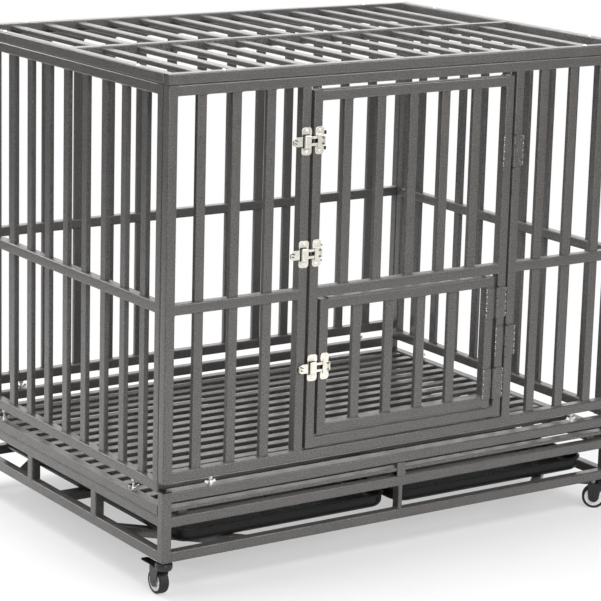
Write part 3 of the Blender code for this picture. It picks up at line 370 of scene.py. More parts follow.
feedDoor = {"ends": (0.3365, 0.751), "levels": (0.1995, 0.462), "firstBar": 0.416, "pitch": 0.0756,
            "count": 4}
feedBars = [(feedDoor["firstBar"] + feedDoor["pitch"] * number, feedDoor["levels"][0] + tube,
             feedDoor["levels"][1] - tube) for number in range(feedDoor["count"])]
wallPanel("feedDoor", "feed_door", 0, 0, feedDoor["ends"], feedDoor["levels"], feedBars)
print("walls and doors made")


# Roof, base and slat floor

roof = {"level": 0.885, "pitch": 0.075, "count": 13}


def makeRoof():
    bm = bmesh.new()
    low, high = roof["level"], roof["level"] + tube
    for y in (0, depth - tube):
        frameTube(bm, (0, y, low), (length, y + tube, high))
    for x in (0, length - tube):
        frameTube(bm, (x, tube, low), (x + tube, depth - tube, high), 1, 2)
    crossRail = (depth - tube) / 2
    frameTube(bm, (tube, crossRail, low), (length - tube, crossRail + tube, high), 0, 2)
    inset = (tube - tubeWork["barThickness"]) / 2
    for x in barEdges(roof["count"], roof["pitch"], length / 2):
        for yFrom, yTo in ((tube, crossRail), (crossRail + tube, depth - tube)):
            infillBar(bm, (x, yFrom, low + inset), (x + tube, yTo, high - inset), 1)
    finishPiece("roofGrid", bm, "frame_paint", bodyOf["roof_panel"], ("roof_panel",))


base = {"railLevels": (0.0, 0.067, 0.1145), "postTop": 0.1345, "strutMiddles": (0.260, 0.5185),
        "crossMember": 0.405, "braceReach": 0.2045, "braceInset": 0.0005, "centrePost": 0.010}


def makeBase():
    bm = bmesh.new()
    bottom, middle, top = base["railLevels"]
    for x in (0, length - tube):
        for y in (0, depth - tube):
            frameTube(bm, (x, y, 0), (x + tube, y + tube, base["postTop"]))
    for y in (0, depth - tube):
        for level in (bottom, middle, top):
            frameTube(bm, (tube, y, level), (length - tube, y + tube, level + tube), 0, 1)
        half = base["centrePost"] / 2
        frameTube(bm, (length / 2 - half, y, tube), (length / 2 + half, y + tube, middle), 2, 1)
    for x in (0, length - tube):
        for level in (bottom, middle):
            frameTube(bm, (x, tube, level), (x + tube, depth - tube, level + tube), 1, 0)
        for strut in base["strutMiddles"]:
            frameTube(bm, (x, strut - tube / 2, tube), (x + tube, strut + tube / 2, middle), 2, 0)
    frameTube(bm, ((length - tube) / 2, tube, middle),
              ((length + tube) / 2, depth - tube, middle + tube), 1, 2)
    cross = base["crossMember"]
    frameTube(bm, (tube, cross, 0), (length - tube, cross + tube, tube), 0, 2)
    reach = base["braceReach"] - tube / 2
    for cornerX, wayX in ((0, 1), (length, -1)):
        for cornerY, wayY in ((0, 1), (depth, -1)):
            start = Vector((cornerX + wayX * tube / 2, cornerY + wayY * reach, tube / 2))
            end = Vector((cornerX + wayX * reach, cornerY + wayY * tube / 2, tube / 2))
            along = end - start
            half = Vector((along.length / 2, tube / 2, tube / 2 - base["braceInset"]))
            centre = (start + end) / 2
            turn = Matrix.Rotation(math.atan2(along.y, along.x), 4, "Z")
            softBox(bm, centre - half, centre + half, tubeWork["tubeRounding"], 3, turn=turn)
    finishPiece("baseFrame", bm, "frame_paint", bodyOf["base_frame"], ("base_frame",))


slatFloor = {"count": 19, "thickness": 0.0075, "top": 0.1045, "setback": 0.002, "bearerLevel": 0.0874,
             "bearerTop": 0.0980, "bearers": (0.040, 1.020), "bearerSetback": 0.012, "blockTop": 0.1141,
             "railTop": 0.107, "slatRounding": 0.0014}


def makeSlatFloor():
    bm = bmesh.new()
    gap = sideWall["gap"]
    level, top = slatFloor["bearerLevel"], slatFloor["top"]
    for x in (0, length - tube):
        softBox(bm, (x, tube + gap, level), (x + tube, depth - tube - gap, slatFloor["railTop"]), 0.0021)
    pitch = (depth - 2 * slatFloor["setback"] - tube) / (slatFloor["count"] - 1)
    for number in range(slatFloor["count"]):
        y = slatFloor["setback"] + pitch * number
        endSlat = number in (0, slatFloor["count"] - 1)
        inset = tube + gap if endSlat else tube - 0.0015
        softBox(bm, (inset, y, top - slatFloor["thickness"]), (length - inset, y + tube, top),
                slatFloor["slatRounding"], 3)
    setback = slatFloor["bearerSetback"]
    for x in slatFloor["bearers"]:
        softBox(bm, (x, setback, level), (x + tube, depth - setback, slatFloor["bearerTop"]), 0.0018)
    middle = (length - tube) / 2
    softBox(bm, (middle, 0.0002, level),
            (middle + tube, depth - 0.0002, slatFloor["bearerTop"] - 0.0003), 0.0018)
    for yFrom, yTo in ((0, setback), (depth - setback, depth)):
        softBox(bm, (middle, yFrom, level), (middle + tube, yTo, slatFloor["blockTop"]), 0.0015, 3,
                every=True)
    finishPiece("slatFloor", bm, "frame_paint", bodyOf["floor_grate"], ("floor_grate",))


makeRoof()
makeBase()
makeSlatFloor()
print("roof, base and floor made")


# Black plugs in the tops of the base's corner posts, and the screws between base and walls

plug = {"reach": 0.0012, "rise": 0.0022, "wide": 0.0198}


def makePlugs():
    bm = bmesh.new()
    for x in (tube / 2, length - tube / 2):
        for y in (tube / 2, depth - tube / 2):
            half = plug["wide"] / 2
            top = base["postTop"]
            softBox(bm, (x - half, y - half, top - plug["reach"]), (x + half, y + half, top + plug["rise"]),
                    0.0015, 3, every=True)
    finishPiece("postPlugs", bm, "black_plastic", "cage")


screw = {"radius": 0.0026, "washer": 0.0062, "nutAcross": 0.0048, "nutHeight": 0.0052, "pitch": 0.001,
         "wingAt": 0.0078, "wingLevel": 0.0058, "wingLong": 0.0085, "wingTall": 0.0062, "wingThick": 0.0022,
         "wingLean": 24}


def spacerScrew(bm, x, y, zFrom, zTo):
    # threaded shank, a washer and hexagon nut on the base, a washer and hexagon nut under the wall
    threads = []
    level = zFrom
    while level < zTo:
        threads += [(screw["radius"], level), (screw["radius"] * 0.82, level + screw["pitch"] / 2)]
        level += screw["pitch"]
    profile = [(0, zFrom)] + threads + [(screw["radius"], zTo), (0, zTo)]
    turned(bm, profile, (x, y, 0), steps=12)
    for washer in (zFrom, zTo - 0.0011):
        turned(bm, [(0, washer), (screw["washer"], washer), (screw["washer"], washer + 0.0011),
                    (0, washer + 0.0011)], (x, y, 0), steps=20)
    # the lower nut has two wings
    for side in (-1, 1):
        lean = Matrix.Rotation(math.radians(side * -screw["wingLean"]), 4, "Y")
        middle = Vector((x + side * screw["wingAt"], y, zFrom + screw["wingLevel"]))
        half = Vector((screw["wingLong"], screw["wingThick"], screw["wingTall"])) / 2
        softBox(bm, middle - half, middle + half, 0.0009, 3, every=True, turn=lean)
    for nut in (zFrom + 0.0011, zTo - 0.0011 - screw["nutHeight"]):
        across = screw["nutAcross"]
        turned(bm, [(0, nut), (across * 0.9, nut), (across, nut + 0.0007),
                    (across, nut + screw["nutHeight"] - 0.0007),
                    (across * 0.9, nut + screw["nutHeight"]), (0, nut + screw["nutHeight"])],
           (x, y, 0), steps=6)


def makeSpacerScrews():
    for node in sorted(frame["nodes"]):
        if not node.startswith("spacer_"):
            continue
        low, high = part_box(node)
        bm = bmesh.new()
        spacerScrew(bm, (low.x + high.x) / 2, (low.y + high.y) / 2, low.z - 0.0003, high.z + 0.0003)
        words = node.split("_")[1:]
        name = "spacerScrew" + "".join(word.capitalize() for word in words)
        finishPiece(name, bm, "zinc", bodyOf[node], (node,), Matrix.Identity(4), 30)


roofScrews = {"fromEnd": 0.120, "fromFront": 0.125, "radius": 0.0042, "rise": 0.0021}


def domedHead(bm, at, radius, rise, axis=(0, 0, 1)):
    # a pan head with a round recess in its top
    turned(bm, [(0, rise * 0.55), (radius * 0.16, rise * 0.55), (radius * 0.24, rise),
                (radius * 0.5, rise * 0.96),
                (radius * 0.8, rise * 0.72), (radius * 0.96, rise * 0.36), (radius, 0), (0, -rise * 0.2)],
           at, axis, 16)


def makeRoofScrews():
    bm = bmesh.new()
    top = crateSize["height"]
    for y in (tube / 2, depth - tube / 2):
        for x in (roofScrews["fromEnd"], length - roofScrews["fromEnd"]):
            domedHead(bm, (x, y, top), roofScrews["radius"], roofScrews["rise"])
    for x in (tube / 2, length - tube / 2):
        for y in (roofScrews["fromFront"], depth - roofScrews["fromFront"]):
            domedHead(bm, (x, y, top), roofScrews["radius"], roofScrews["rise"])
    finishPiece("roofScrews", bm, "zinc", "cage")


makePlugs()
makeSpacerScrews()
makeRoofScrews()
print("screws and plugs made")


# Butt hinges

hinge = {"plateWidth": 0.0189, "edge": 0.0046, "height": 0.062, "thickness": 0.002, "knuckle": 0.0039,
         "bore": 0.00215, "screwRadius": 0.0025, "screwRise": 0.0009, "corner": 0.0035}


# painted highlight: a row of small bright zinc beads along each leaf's outer edge stands in for the glints on that
# edge
paintedGlintBeads = {"count": 13, "pitch": 0.0046, "half": 0.0008, "swing": 2.3}


def hingeLeaf(bm, x, y, z, side, knuckles):
    middle = x + side * (hinge["edge"] + hinge["plateWidth"] / 2)
    back = y + hinge["knuckle"] + 0.0001
    plate(bm, roundedOutline(hinge["plateWidth"], hinge["height"], hinge["corner"]), hinge["thickness"],
          0.0004, (middle, back, z), facing["front"])
    for zFrom, zTo in knuckles:
        wrap = sorted((x, x + side * (hinge["edge"] + 0.002)))
        softBox(bm, (wrap[0], back - hinge["thickness"] + 0.0002, z + zFrom + 0.0002),
                (wrap[1], back - 0.0002, z + zTo - 0.0002), 0.0003, 2, every=True)
        bore, outer = hinge["bore"], hinge["knuckle"]
        turned(bm, [(bore, zFrom), (outer - 0.0004, zFrom), (outer, zFrom + 0.0004), (outer, zTo - 0.0004),
                    (outer - 0.0004, zTo), (bore, zTo)], (x, y, z), steps=24, closed=True)


def hingePaintedGlints(bm, x, y, z, side):
    edge = x + side * (hinge["edge"] + hinge["plateWidth"])
    face = y + hinge["knuckle"] - hinge["thickness"] / 2
    for number in range(paintedGlintBeads["count"]):
        level = z + (number - (paintedGlintBeads["count"] - 1) / 2) * paintedGlintBeads["pitch"]
        half = paintedGlintBeads["half"] * (1 + 0.5 * math.sin(number * paintedGlintBeads["swing"]))
        shift = side * 0.0004 * math.sin(number * 1.9)
        softBox(bm, (edge + shift - half, face - half * 1.2, level - half * 1.3),
                (edge + shift + half, face + 0.0008, level + half * 1.3), half * 0.6, 2, every=True)


def hingeScrews(bm, x, y, z, side):
    middle = x + side * (hinge["edge"] + hinge["plateWidth"] / 2)
    face = y + hinge["knuckle"] + 0.0001 - hinge["thickness"]
    for rise, shift in ((-0.021, 0.0025), (0.0, -0.0035), (0.021, 0.0025)):
        domedHead(bm, (middle + side * shift, face + 0.0001, z + rise), hinge["screwRadius"],
                  hinge["screwRise"], (0, -1, 0))


def makeHinge(name):
    lowPin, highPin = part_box(name + "_pin")
    x, y, z = (lowPin + highPin) / 2
    third, outer, gap = hinge["height"] / 6, hinge["height"] / 2, 0.00025
    title = "".join(word.capitalize() for word in name.split("_"))
    title = title[0].lower() + title[1:]
    for part, side, knuckles in (("frame", 1, ((-outer, -third - gap), (third + gap, outer))),
                                 ("door", -1, ((-third + gap, third - gap),))):
        node = name + "_" + part + "_leaf"
        bm = bmesh.new()
        hingeLeaf(bm, x, y, z, side, knuckles)
        finishPiece(title + part.capitalize() + "Leaf", bm, "frame_paint", bodyOf[node], (node,),
                    Matrix.Identity(4))
        bm = bmesh.new()
        hingeScrews(bm, x, y, z, side)
        finishPiece(title + part.capitalize() + "Screws", bm, "frame_paint", bodyOf[node], (),
                    Matrix.Identity(4))
        # bright zinc beads that paint glints along the leaf's outer edge
        bm = bmesh.new()
        hingePaintedGlints(bm, x, y, z, side)
        finishPiece(title + part.capitalize() + "Welds", bm, "zinc", bodyOf[node], (), Matrix.Identity(4))
    bm = bmesh.new()
    end, head, shank = highPin.z - z, 0.0032, 0.002
    turned(bm, [(0, -end), (head * 0.7, -end), (head, -end + 0.0005), (head, -outer - 0.0005),
                (shank, -outer - 0.0005),
                (shank, outer + 0.0005), (head, outer + 0.0005), (head, end - 0.0005), (head * 0.7, end),
                (0, end)], (x, y, z), steps=20)
    finishPiece(title + "Pin", bm, "dark_zinc", bodyOf[name + "_pin"], (name + "_pin",), Matrix.Identity(4))


for hingeName in ("main_hinge_upper", "main_hinge_lower", "feed_hinge_upper", "feed_hinge_lower"):
    makeHinge(hingeName)
print("hinges made")


# Slide latches: an eared plate and a stud on the frame, a guide on the door, a bolt between them

latch = {"plateHeight": 0.0515, "catchWidth": 0.022, "guideWidth": 0.0195, "guideFromEdge": 0.0024,
         "thickness": 0.002, "earRadius": 0.0062, "waist": 0.0014, "screwRadius": 0.0027, "screwRise": 0.0011,
         "plateGap": 0.0004, "studFromEdge": 0.0140}
stud = {"neck": 0.0018, "head": 0.0034, "headFrom": 0.0028, "top": 0.0050}
bolt = {"height": 0.018, "handle": 0.0285, "tipHeight": 0.009, "tipLength": 0.0065, "lip": 0.002,
        "lipFace": 0.0078, "back": 0.0029, "face": 0.0047, "slotHeight": 0.008, "slotFrom": 0.011,
        "slotTo": 0.0106, "stopRise": 0.0037, "stopWidth": 0.0016}
housing = {"left": 0.0055, "right": 0.0100, "height": 0.024, "face": 0.0095, "wall": 0.0011, "slope": 0.0014}
bridge = {"from": 0.0055, "width": 0.009, "halfHeight": 0.0120, "leg": 0.0025, "back": 0.0052, "face": 0.0068}


# sizes of the black latch marks: the strip, the crevice line and the grip strokes are painted shade, and the
# clamps are the ends of two clamps beside the guide plates
latchShadeAndClampSizes = {"strip": 0.0045, "clampFace": 0.0035, "clampLevel": 0.0145, "seam": 0.0015, "gripReach": 0.0085,
         "gripWidth": 0.0021, "gripRise": 0.0003, "gripLean": 22,
         "grips": ((0.0064, 0.0034), (0.0046, -0.0018)),
         "clamps": {"latch_upper_guide": (0.0042, 0.0068), "latch_lower_guide": (0.0022, 0.003),
                    "latch_feed_guide": (0.0022, 0.003)}}


def pieceName(node):
    words = node.split("_")
    return words[0] + "".join(word.capitalize() for word in words[1:])


def earedPlate(bm, x, width, face, z):
    # a plate with an ear top and bottom, drawn in at its waist
    height, ear, waist = latch["plateHeight"], latch["earRadius"], latch["waist"]
    right, top = width / 2, height / 2
    quarter = [(right - waist, 0.0), (right - waist, top - 2 * ear - 0.003), (right, top - 2 * ear)]
    quarter += arcPoints(right - ear, top - ear, ear, 0, 90, 5)
    outline = quarter + [(-px, py) for px, py in reversed(quarter)]
    outline += [(-px, -py) for px, py in quarter[1:]] + [(px, -py) for px, py in reversed(quarter[1:])]
    plate(bm, outline, latch["thickness"], 0.0006, (x, face - latch["plateGap"], z), facing["front"], 3)
    # its screws, one in each ear
    plateFace = face - latch["plateGap"] - latch["thickness"]
    for side in (-1, 1):
        domedHead(bm, (x, plateFace + 0.0001, z + side * (top - ear)), latch["screwRadius"],
                  latch["screwRise"], (0, -1, 0))
    return plateFace


def makeCatch(node):
    low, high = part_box(node)
    z = (low.z + high.z) / 2
    bm = bmesh.new()
    plateFace = earedPlate(bm, high.x - latch["catchWidth"] / 2, latch["catchWidth"],
                           high.y + latch["plateGap"], z)
    # the mushroom stud that the bolt hooks behind
    neck, head, under, top = stud["neck"], stud["head"], stud["headFrom"], stud["top"]
    turned(bm, [(0, -0.001), (neck, -0.001), (neck, under), (head, under + 0.0002), (head, top - 0.0009),
                (head * 0.85, top - 0.0002), (0, top)],
           (high.x - latch["studFromEdge"], plateFace, z), (0, -1, 0), 20)
    return finishPiece(pieceName(node), bm, "nickel", bodyOf[node], (node,), Matrix.Identity(4))


def makeGuide(node):
    low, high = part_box(node)
    z = (low.z + high.z) / 2
    face = high.y + latch["plateGap"]
    edge = low.x - latch["guideFromEdge"]
    bm = bmesh.new()
    plateFace = earedPlate(bm, high.x - latch["guideWidth"] / 2, latch["guideWidth"], face, z)
    # the bridge over the bolt: two legs and a strap, bent from one strip
    left, right = edge + bridge["from"], edge + bridge["from"] + bridge["width"]
    half, leg = bridge["halfHeight"], bridge["leg"]
    softBox(bm, (left, face - bridge["face"], z - half), (right, face - bridge["back"], z + half), 0.0006, 3,
            every=True)
    for legLow in (z - half, z + half - leg):
        softBox(bm, (left, face - bridge["face"] + 0.0004, legLow), (right, face - 0.0014, legLow + leg),
                0.0006, 3, every=True)
    finishPiece(pieceName(node), bm, "nickel", bodyOf[node], (node,), Matrix.Identity(4))
    # painted shade: a black strip on the plate behind the prongs stands in for the shade in their slot; beside the
    # plate are the ends of two clamps
    bm = bmesh.new()
    strip, clampWide, clampTall = latchShadeAndClampSizes["strip"], *latchShadeAndClampSizes["clamps"][node]
    softBox(bm, (low.x + 0.0004, plateFace - 0.0003, z - strip),
            (left + 0.002, plateFace + 0.0005, z + strip),
            0.0001, 1, every=True)
    for level in (z - latchShadeAndClampSizes["clampLevel"], z + latchShadeAndClampSizes["clampLevel"]):
        softBox(bm, (high.x + 0.0003, face - latchShadeAndClampSizes["clampFace"], level - clampTall / 2),
                (high.x + clampWide, face - 0.0003, level + clampTall / 2), 0.0009, 3, every=True)
    finishPiece(pieceName(node) + "Marks", bm, "black_plastic", bodyOf[node], (), Matrix.Identity(4))


def makeBolt(node):
    # a flat bolt tapering into a finger grip, two prongs that end in a stop, and a housing over the stud
    low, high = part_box(node)
    z = (low.z + high.z) / 2
    face = high.y + bolt["back"]
    back, front, cover = (face - depth for depth in (bolt["back"], bolt["face"], housing["face"]))
    half = bolt["height"] / 2
    studX = low.x + bolt["handle"]
    houseLeft, houseRight = studX - housing["left"], studX + housing["right"]
    bm = bmesh.new()
    thin = 0.0005
    # the handle, cut back at its tip, which is turned out into a small lip
    tip, shoulder = bolt["tipHeight"] / 2, low.x + bolt["tipLength"]
    outline = [(low.x, -tip), (shoulder, -half), (houseLeft + 0.001, -half), (houseLeft + 0.001, half),
               (shoulder, half), (low.x, tip)]
    plate(bm, outline, bolt["face"] - bolt["back"], thin, (0, back, z), facing["front"])
    softBox(bm, (low.x, face - bolt["lipFace"], z - tip), (low.x + bolt["lip"], back, z + tip), thin, 2,
            every=True)
    # the prongs either side of their slot
    slotFrom, slotTo, slotHalf = studX + bolt["slotFrom"], high.x - bolt["slotTo"], bolt["slotHeight"] / 2
    for low_, high_ in ((-half, -slotHalf), (slotHalf, half)):
        softBox(bm, (houseRight - 0.001, front, z + low_), (high.x, back, z + high_), thin, 2, every=True)
    softBox(bm, (houseRight - 0.001, front, z - half + 0.001), (slotFrom, back, z + half - 0.001), thin, 2,
            every=True)
    softBox(bm, (slotTo, front, z - half + 0.001), (high.x, back, z + half - 0.001), thin, 2, every=True)
    softBox(bm, (high.x - bolt["stopWidth"], front - bolt["stopRise"], z - half + 0.001),
            (high.x, back, z + half - 0.001), thin, 2, every=True)
    # the housing is a shell, so that the stud has its room
    house = bmesh.new()
    bmesh.ops.create_cube(house, size=1)
    size = Vector((houseRight - houseLeft, back - cover, housing["height"]))
    bmesh.ops.scale(house, vec=size, verts=house.verts)
    bmesh.ops.translate(house, vec=((houseLeft + houseRight) / 2, (back + cover) / 2, z), verts=house.verts)
    for vert in house.verts:
        if vert.co.x < houseLeft + 0.0001 and vert.co.y < back - 0.0001:
            vert.co.x += housing["slope"]
    behind = [found for found in house.faces if found.normal.y > 0.9]
    bmesh.ops.delete(house, geom=behind, context="FACES")
    rounded = [edge for edge in house.edges if not edge.is_boundary]
    bevelEdges(house, rounded, 0.0024, 4)
    bmesh.ops.recalc_face_normals(house, faces=house.faces)
    inside = Vector(((houseLeft + houseRight) / 2, back, z))
    outward = sum(found.normal.dot(found.calc_center_median() - inside)
                  for found in house.faces)
    if outward < 0:
        bmesh.ops.reverse_faces(house, faces=house.faces)
    bmesh.ops.solidify(house, geom=house.faces[:], thickness=housing["wall"])
    addTo(bm, house)
    finishPiece(pieceName(node), bm, "nickel", bodyOf[node], (node,), Matrix.Identity(4))
    # the dark grips stamped in the handle, and the dark seam round the housing
    # painted shade: two black strokes on the handle stand in for the shade of its grips, and a black line along
    # the housing's left side and top stands in for the shade in the crevice at its foot
    bm = bmesh.new()
    reach, rise, width = latchShadeAndClampSizes["gripReach"] / 2, latchShadeAndClampSizes["gripRise"], latchShadeAndClampSizes["gripWidth"]
    for gripX, gripZ in latchShadeAndClampSizes["grips"]:
        softBox(bm, (low.x + gripX - reach, front - rise, z + gripZ - width / 2),
                (low.x + gripX + reach, front + 0.0002, z + gripZ + width / 2), 0.0002, 2, every=True,
                turn=Matrix.Rotation(math.radians(latchShadeAndClampSizes["gripLean"]), 4, "Y"))
    seam, top = latchShadeAndClampSizes["seam"], housing["height"] / 2
    softBox(bm, (houseLeft - seam, front - seam, z - top),
            (houseLeft + seam / 2, front + 0.0003, z + top), 0.0004, 2,
            every=True)
    softBox(bm, (houseLeft - seam, front - seam, z + top - seam / 2), (houseRight - 0.003, front + 0.0003,
            z + top + seam), 0.0004, 2, every=True)
    finishPiece(pieceName(node) + "Marks", bm, "black_plastic", bodyOf[node], (), Matrix.Identity(4))


for latchName in ("latch_upper", "latch_lower", "latch_feed"):
    makeCatch(latchName + "_catch")
    makeGuide(latchName + "_guide")
    makeBolt(latchName + "_bolt")
print("latches made")


# Trays, each a row of rounded outlines: up the outside, over the rim and down the inside

tray = {"rimWidth": 0.0035, "rimDrop": 0.003, "rimRounding": 0.0007, "wall": 0.0025, "cornerRadius": 0.0395,
        "leastRadius": 0.008, "cornerSteps": 10, "footRadius": 0.013, "footSteps": 6,
        "stepInset": 0.045, "stepSlope": 0.003, "stepRise": 0.0012}


def makeTray(node):
    low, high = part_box(node)
    middle, size = (low + high) / 2, high - low
    rim, wall, foot, soft = tray["rimWidth"], tray["wall"], tray["footRadius"], tray["rimRounding"]
    rimUnder = high.z - tray["rimDrop"]
    stepOut, stepIn = tray["stepInset"], tray["stepInset"] + tray["stepSlope"]
    # each ring is given by how far in from the tray's edge it lies, and by its level
    rings = [(stepIn, low.z + tray["stepRise"]), (stepOut, low.z)]
    rings += arcPoints(rim + foot, low.z + foot, foot, -90, -180, tray["footSteps"])
    rings += [(rim, rimUnder), (soft, rimUnder)]
    rings += [(0, rimUnder + soft), (0, high.z - soft), (soft, high.z), (rim + wall - soft, high.z),
              (rim + wall, high.z - soft)]
    rings += arcPoints(rim + foot, low.z + foot, foot - wall, -180, -90, tray["footSteps"])
    rings += [(stepOut, low.z + wall), (stepIn, low.z + wall + tray["stepRise"])]
    bm = bmesh.new()
    loops = []
    for inset, level in rings:
        radius = max(tray["cornerRadius"] - inset, tray["leastRadius"])
        outline = roundedOutline(size.x - 2 * inset, size.y - 2 * inset, radius, tray["cornerSteps"])
        loops.append([bm.verts.new((middle.x + x, middle.y + y, level)) for x, y in outline])
    for lower, upper in zip(loops, loops[1:]):
        for number in range(len(lower)):
            following = (number + 1) % len(lower)
            bm.faces.new((lower[number], lower[following], upper[following], upper[number]))
    for flat in (loops[0], loops[-1]):
        bm.faces.new(flat)
    bmesh.ops.recalc_face_normals(bm, faces=bm.faces)
    finishPiece(pieceName(node), bm, "black_plastic", bodyOf[node], (node,), Matrix.Identity(4), 50)


for trayNode in ("left_tray", "right_tray"):
    makeTray(trayNode)
print("trays made")


# Casters, drawn with the swivel axis at the origin and the wheel trailing towards +Y

caster = {"trail": 0.018, "wheelRadius": 0.024, "wheelHalf": 0.010, "reach": 0.0126, "sheet": 0.0016,
          "plateTop": 0.0541, "plateThickness": 0.0025, "plateEnd": 0.024, "tyre": 0.0050,
          "postTop": 0.0646, "legEnd": 0.0312, "earLevel": 0.0465, "footRadius": 0.0102}
pedalShape = {"width": 0.017, "length": 0.044, "thickness": 0.0022, "pivotBehind": 0.010, "pivotLevel": 0.050,
              "barrel": 0.0026}


def casterMount():
    bm = bmesh.new()
    top, flange, shoulder = caster["postTop"], caster["postTop"] - 0.004, caster["plateTop"] + 0.0004
    under = caster["plateTop"] - caster["plateThickness"] - 0.0004
    turned(bm, [(0, top), (0.0091, top), (0.0095, top - 0.0005), (0.0095, flange + 0.0004), (0.0091, flange),
                (0.0086, flange - 0.0003), (0.0088, flange - 0.0018), (0.0080, shoulder + 0.0012),
                (0.0080, shoulder), (0.0030, shoulder), (0.0030, under), (0.0041, under),
                (0.0045, under - 0.0006),
                (0.0043, under - 0.0022), (0.0030, under - 0.003), (0, under - 0.003)], steps=32)
    return bm


def casterFork(pedal):
    bm = bmesh.new()
    half, under = caster["reach"], caster["plateTop"] - caster["plateThickness"]
    outline = arcPoints(0, 0, half, 180, 360, 20) + [(half, caster["plateEnd"]), (-half, caster["plateEnd"])]
    plate(bm, outline, caster["plateThickness"], 0.0006, (0, 0, under))
    # the pressed cover round the ball race
    turned(bm, [(0.0103, 0.0634), (0.0145, 0.0634), (0.0158, 0.0628), (0.0165, 0.0612), (0.0165, 0.0560),
                (0.0159, 0.0530), (0.0148, 0.0512), (0.0138, 0.0508), (0.0138, 0.0530), (0.0103, 0.0536)],
           steps=36, closed=True)
    foot = arcPoints(caster["trail"], caster["wheelRadius"], caster["footRadius"], 190, 350, 14)
    legTop = caster["plateTop"] - 0.0006
    leg = [(0.002, legTop), (0.0028, 0.046), (0.0052, 0.036)] + foot
    leg += [(0.0300, 0.036), (0.0308, 0.043), (caster["legEnd"], caster["earLevel"]),
            (caster["legEnd"], legTop - 0.0012), (caster["legEnd"] - 0.0012, legTop)]
    upright = Matrix(((0, 0, 1, 0), (1, 0, 0, 0), (0, 1, 0, 0), (0, 0, 0, 1)))
    for start in (-half, half - caster["sheet"]):
        plate(bm, leg, caster["sheet"], 0.0004, (start, 0, 0), upright)
    rivet = half + 0.0006
    turned(bm, [(0, -rivet), (0.0034, -rivet), (0.0045, -half + 0.0004), (0.0045, -half + 0.001),
                (0.003, -half + 0.001), (0.003, half - 0.001), (0.0045, half - 0.001),
                (0.0045, half - 0.0004), (0.0034, rivet), (0, rivet)],
           (0, caster["trail"], caster["wheelRadius"]), (1, 0, 0), 20)
    if pedal:
        reach = half - 0.0004
        turned(bm, [(0, -reach), (0.0013, -reach), (0.0013, reach), (0, reach)],
               (0, caster["trail"] + pedalShape["pivotBehind"], pedalShape["pivotLevel"]), (1, 0, 0), 12)
    return bm


def wheelHub():
    # nylon centre: bearing boss, recessed web, rim
    bm = bmesh.new()
    outer = caster["wheelRadius"] - caster["tyre"] - 0.0003
    turned(bm, [(0.00315, -0.009), (0.0058, -0.009), (0.0062, -0.0085), (0.0068, -0.0052), (0.0102, -0.0052),
                (0.0108, -0.0085), (0.0113, -0.009), (outer - 0.0004, -0.009), (outer, -0.0086),
                (outer, 0.0086),
                (outer - 0.0004, 0.009), (0.0113, 0.009), (0.0108, 0.0085), (0.0102, 0.0052),
                (0.0068, 0.0052),
                (0.0062, 0.0085), (0.0058, 0.009), (0.00315, 0.009)],
           (0, caster["trail"], caster["wheelRadius"]), (1, 0, 0), 48, True)
    return bm


def wheelTyre():
    bm = bmesh.new()
    radius, half = caster["wheelRadius"], caster["wheelHalf"]
    inner = radius - caster["tyre"]
    shoulder = arcPoints(radius - 0.0036, half - 0.0036, 0.0036, 90, 0, 5)
    profile = [(inner, half - 0.0006), (inner + 0.0006, half)] + shoulder + [(radius, 0)]
    profile += [(pointX, -pointY) for pointX, pointY in reversed(profile[:-1])]
    turned(bm, profile, (0, caster["trail"], caster["wheelRadius"]), (1, 0, 0), 56, True)
    return bm


def brakePedal():
    # a ribbed plate behind its barrel
    bm = bmesh.new()
    half, span = pedalShape["width"] / 2, pedalShape["length"]
    at = Vector((0, caster["trail"] + pedalShape["pivotBehind"], pedalShape["pivotLevel"]))
    top = pedalShape["barrel"]
    outline = [(-half, 0.001), (half, 0.001), (half, span - 0.006)]
    outline += arcPoints(half - 0.006, span - 0.006, 0.006, 0, 90, 6)[1:]
    outline += arcPoints(0.006 - half, span - 0.006, 0.006, 90, 180, 6)
    plate(bm, outline, pedalShape["thickness"], 0.0005, at + Vector((0, 0, top - pedalShape["thickness"])))
    for number in range(4):
        ribY = span - 0.006 - 0.0042 * number
        softBox(bm, at + Vector((0.002 - half, ribY - 0.0008, top - 0.0006)),
                at + Vector((half - 0.002, ribY + 0.0008, top + 0.0007)), 0.0004, 2, every=True)
    turned(bm, [(0.00145, -half), (0.0026, -half), (0.0026, half), (0.00145, half)], at, (1, 0, 0), 20, True)
    return bm


def makeCaster(place):
    swivel = Vector(jointOf[place + "_swivel"]["pos_m"])
    axle = Vector(jointOf[place + "_axle"]["pos_m"])
    trail = axle - swivel
    turn = Matrix.Rotation(math.atan2(-trail.x, trail.y), 4, "Z")
    where = Matrix.Translation((swivel.x, swivel.y, 0)) @ turn
    braked = place.startswith("front")
    for part, bm, finish in (("mount", casterMount(), "dark_zinc"), ("fork", casterFork(braked), "dark_zinc"),
                             ("hub", wheelHub(), "grey_plastic"), ("tyre", wheelTyre(), "rubber")):
        node = "caster_" + place + "_" + part
        finishPiece(pieceName(node), bm, finish, bodyOf[node], (node,), where, 35)
    if braked:
        node = "caster_" + place + "_pedal"
        finishPiece(pieceName(node), brakePedal(), "black_plastic", bodyOf[node], (node,), where, 35)


for casterPlace in ("front_left", "front_right", "back_left", "back_right"):
    makeCaster(casterPlace)
print("casters made")


# Floor, light and camera

stage = {"floorSize": 14.0, "floorTone": 0.62, "fadeFrom": 0.75, "fadeTo": 1.7, "whiteShare": 0.5,
         "ambient": 0.05, "glossyShare": 0.06}


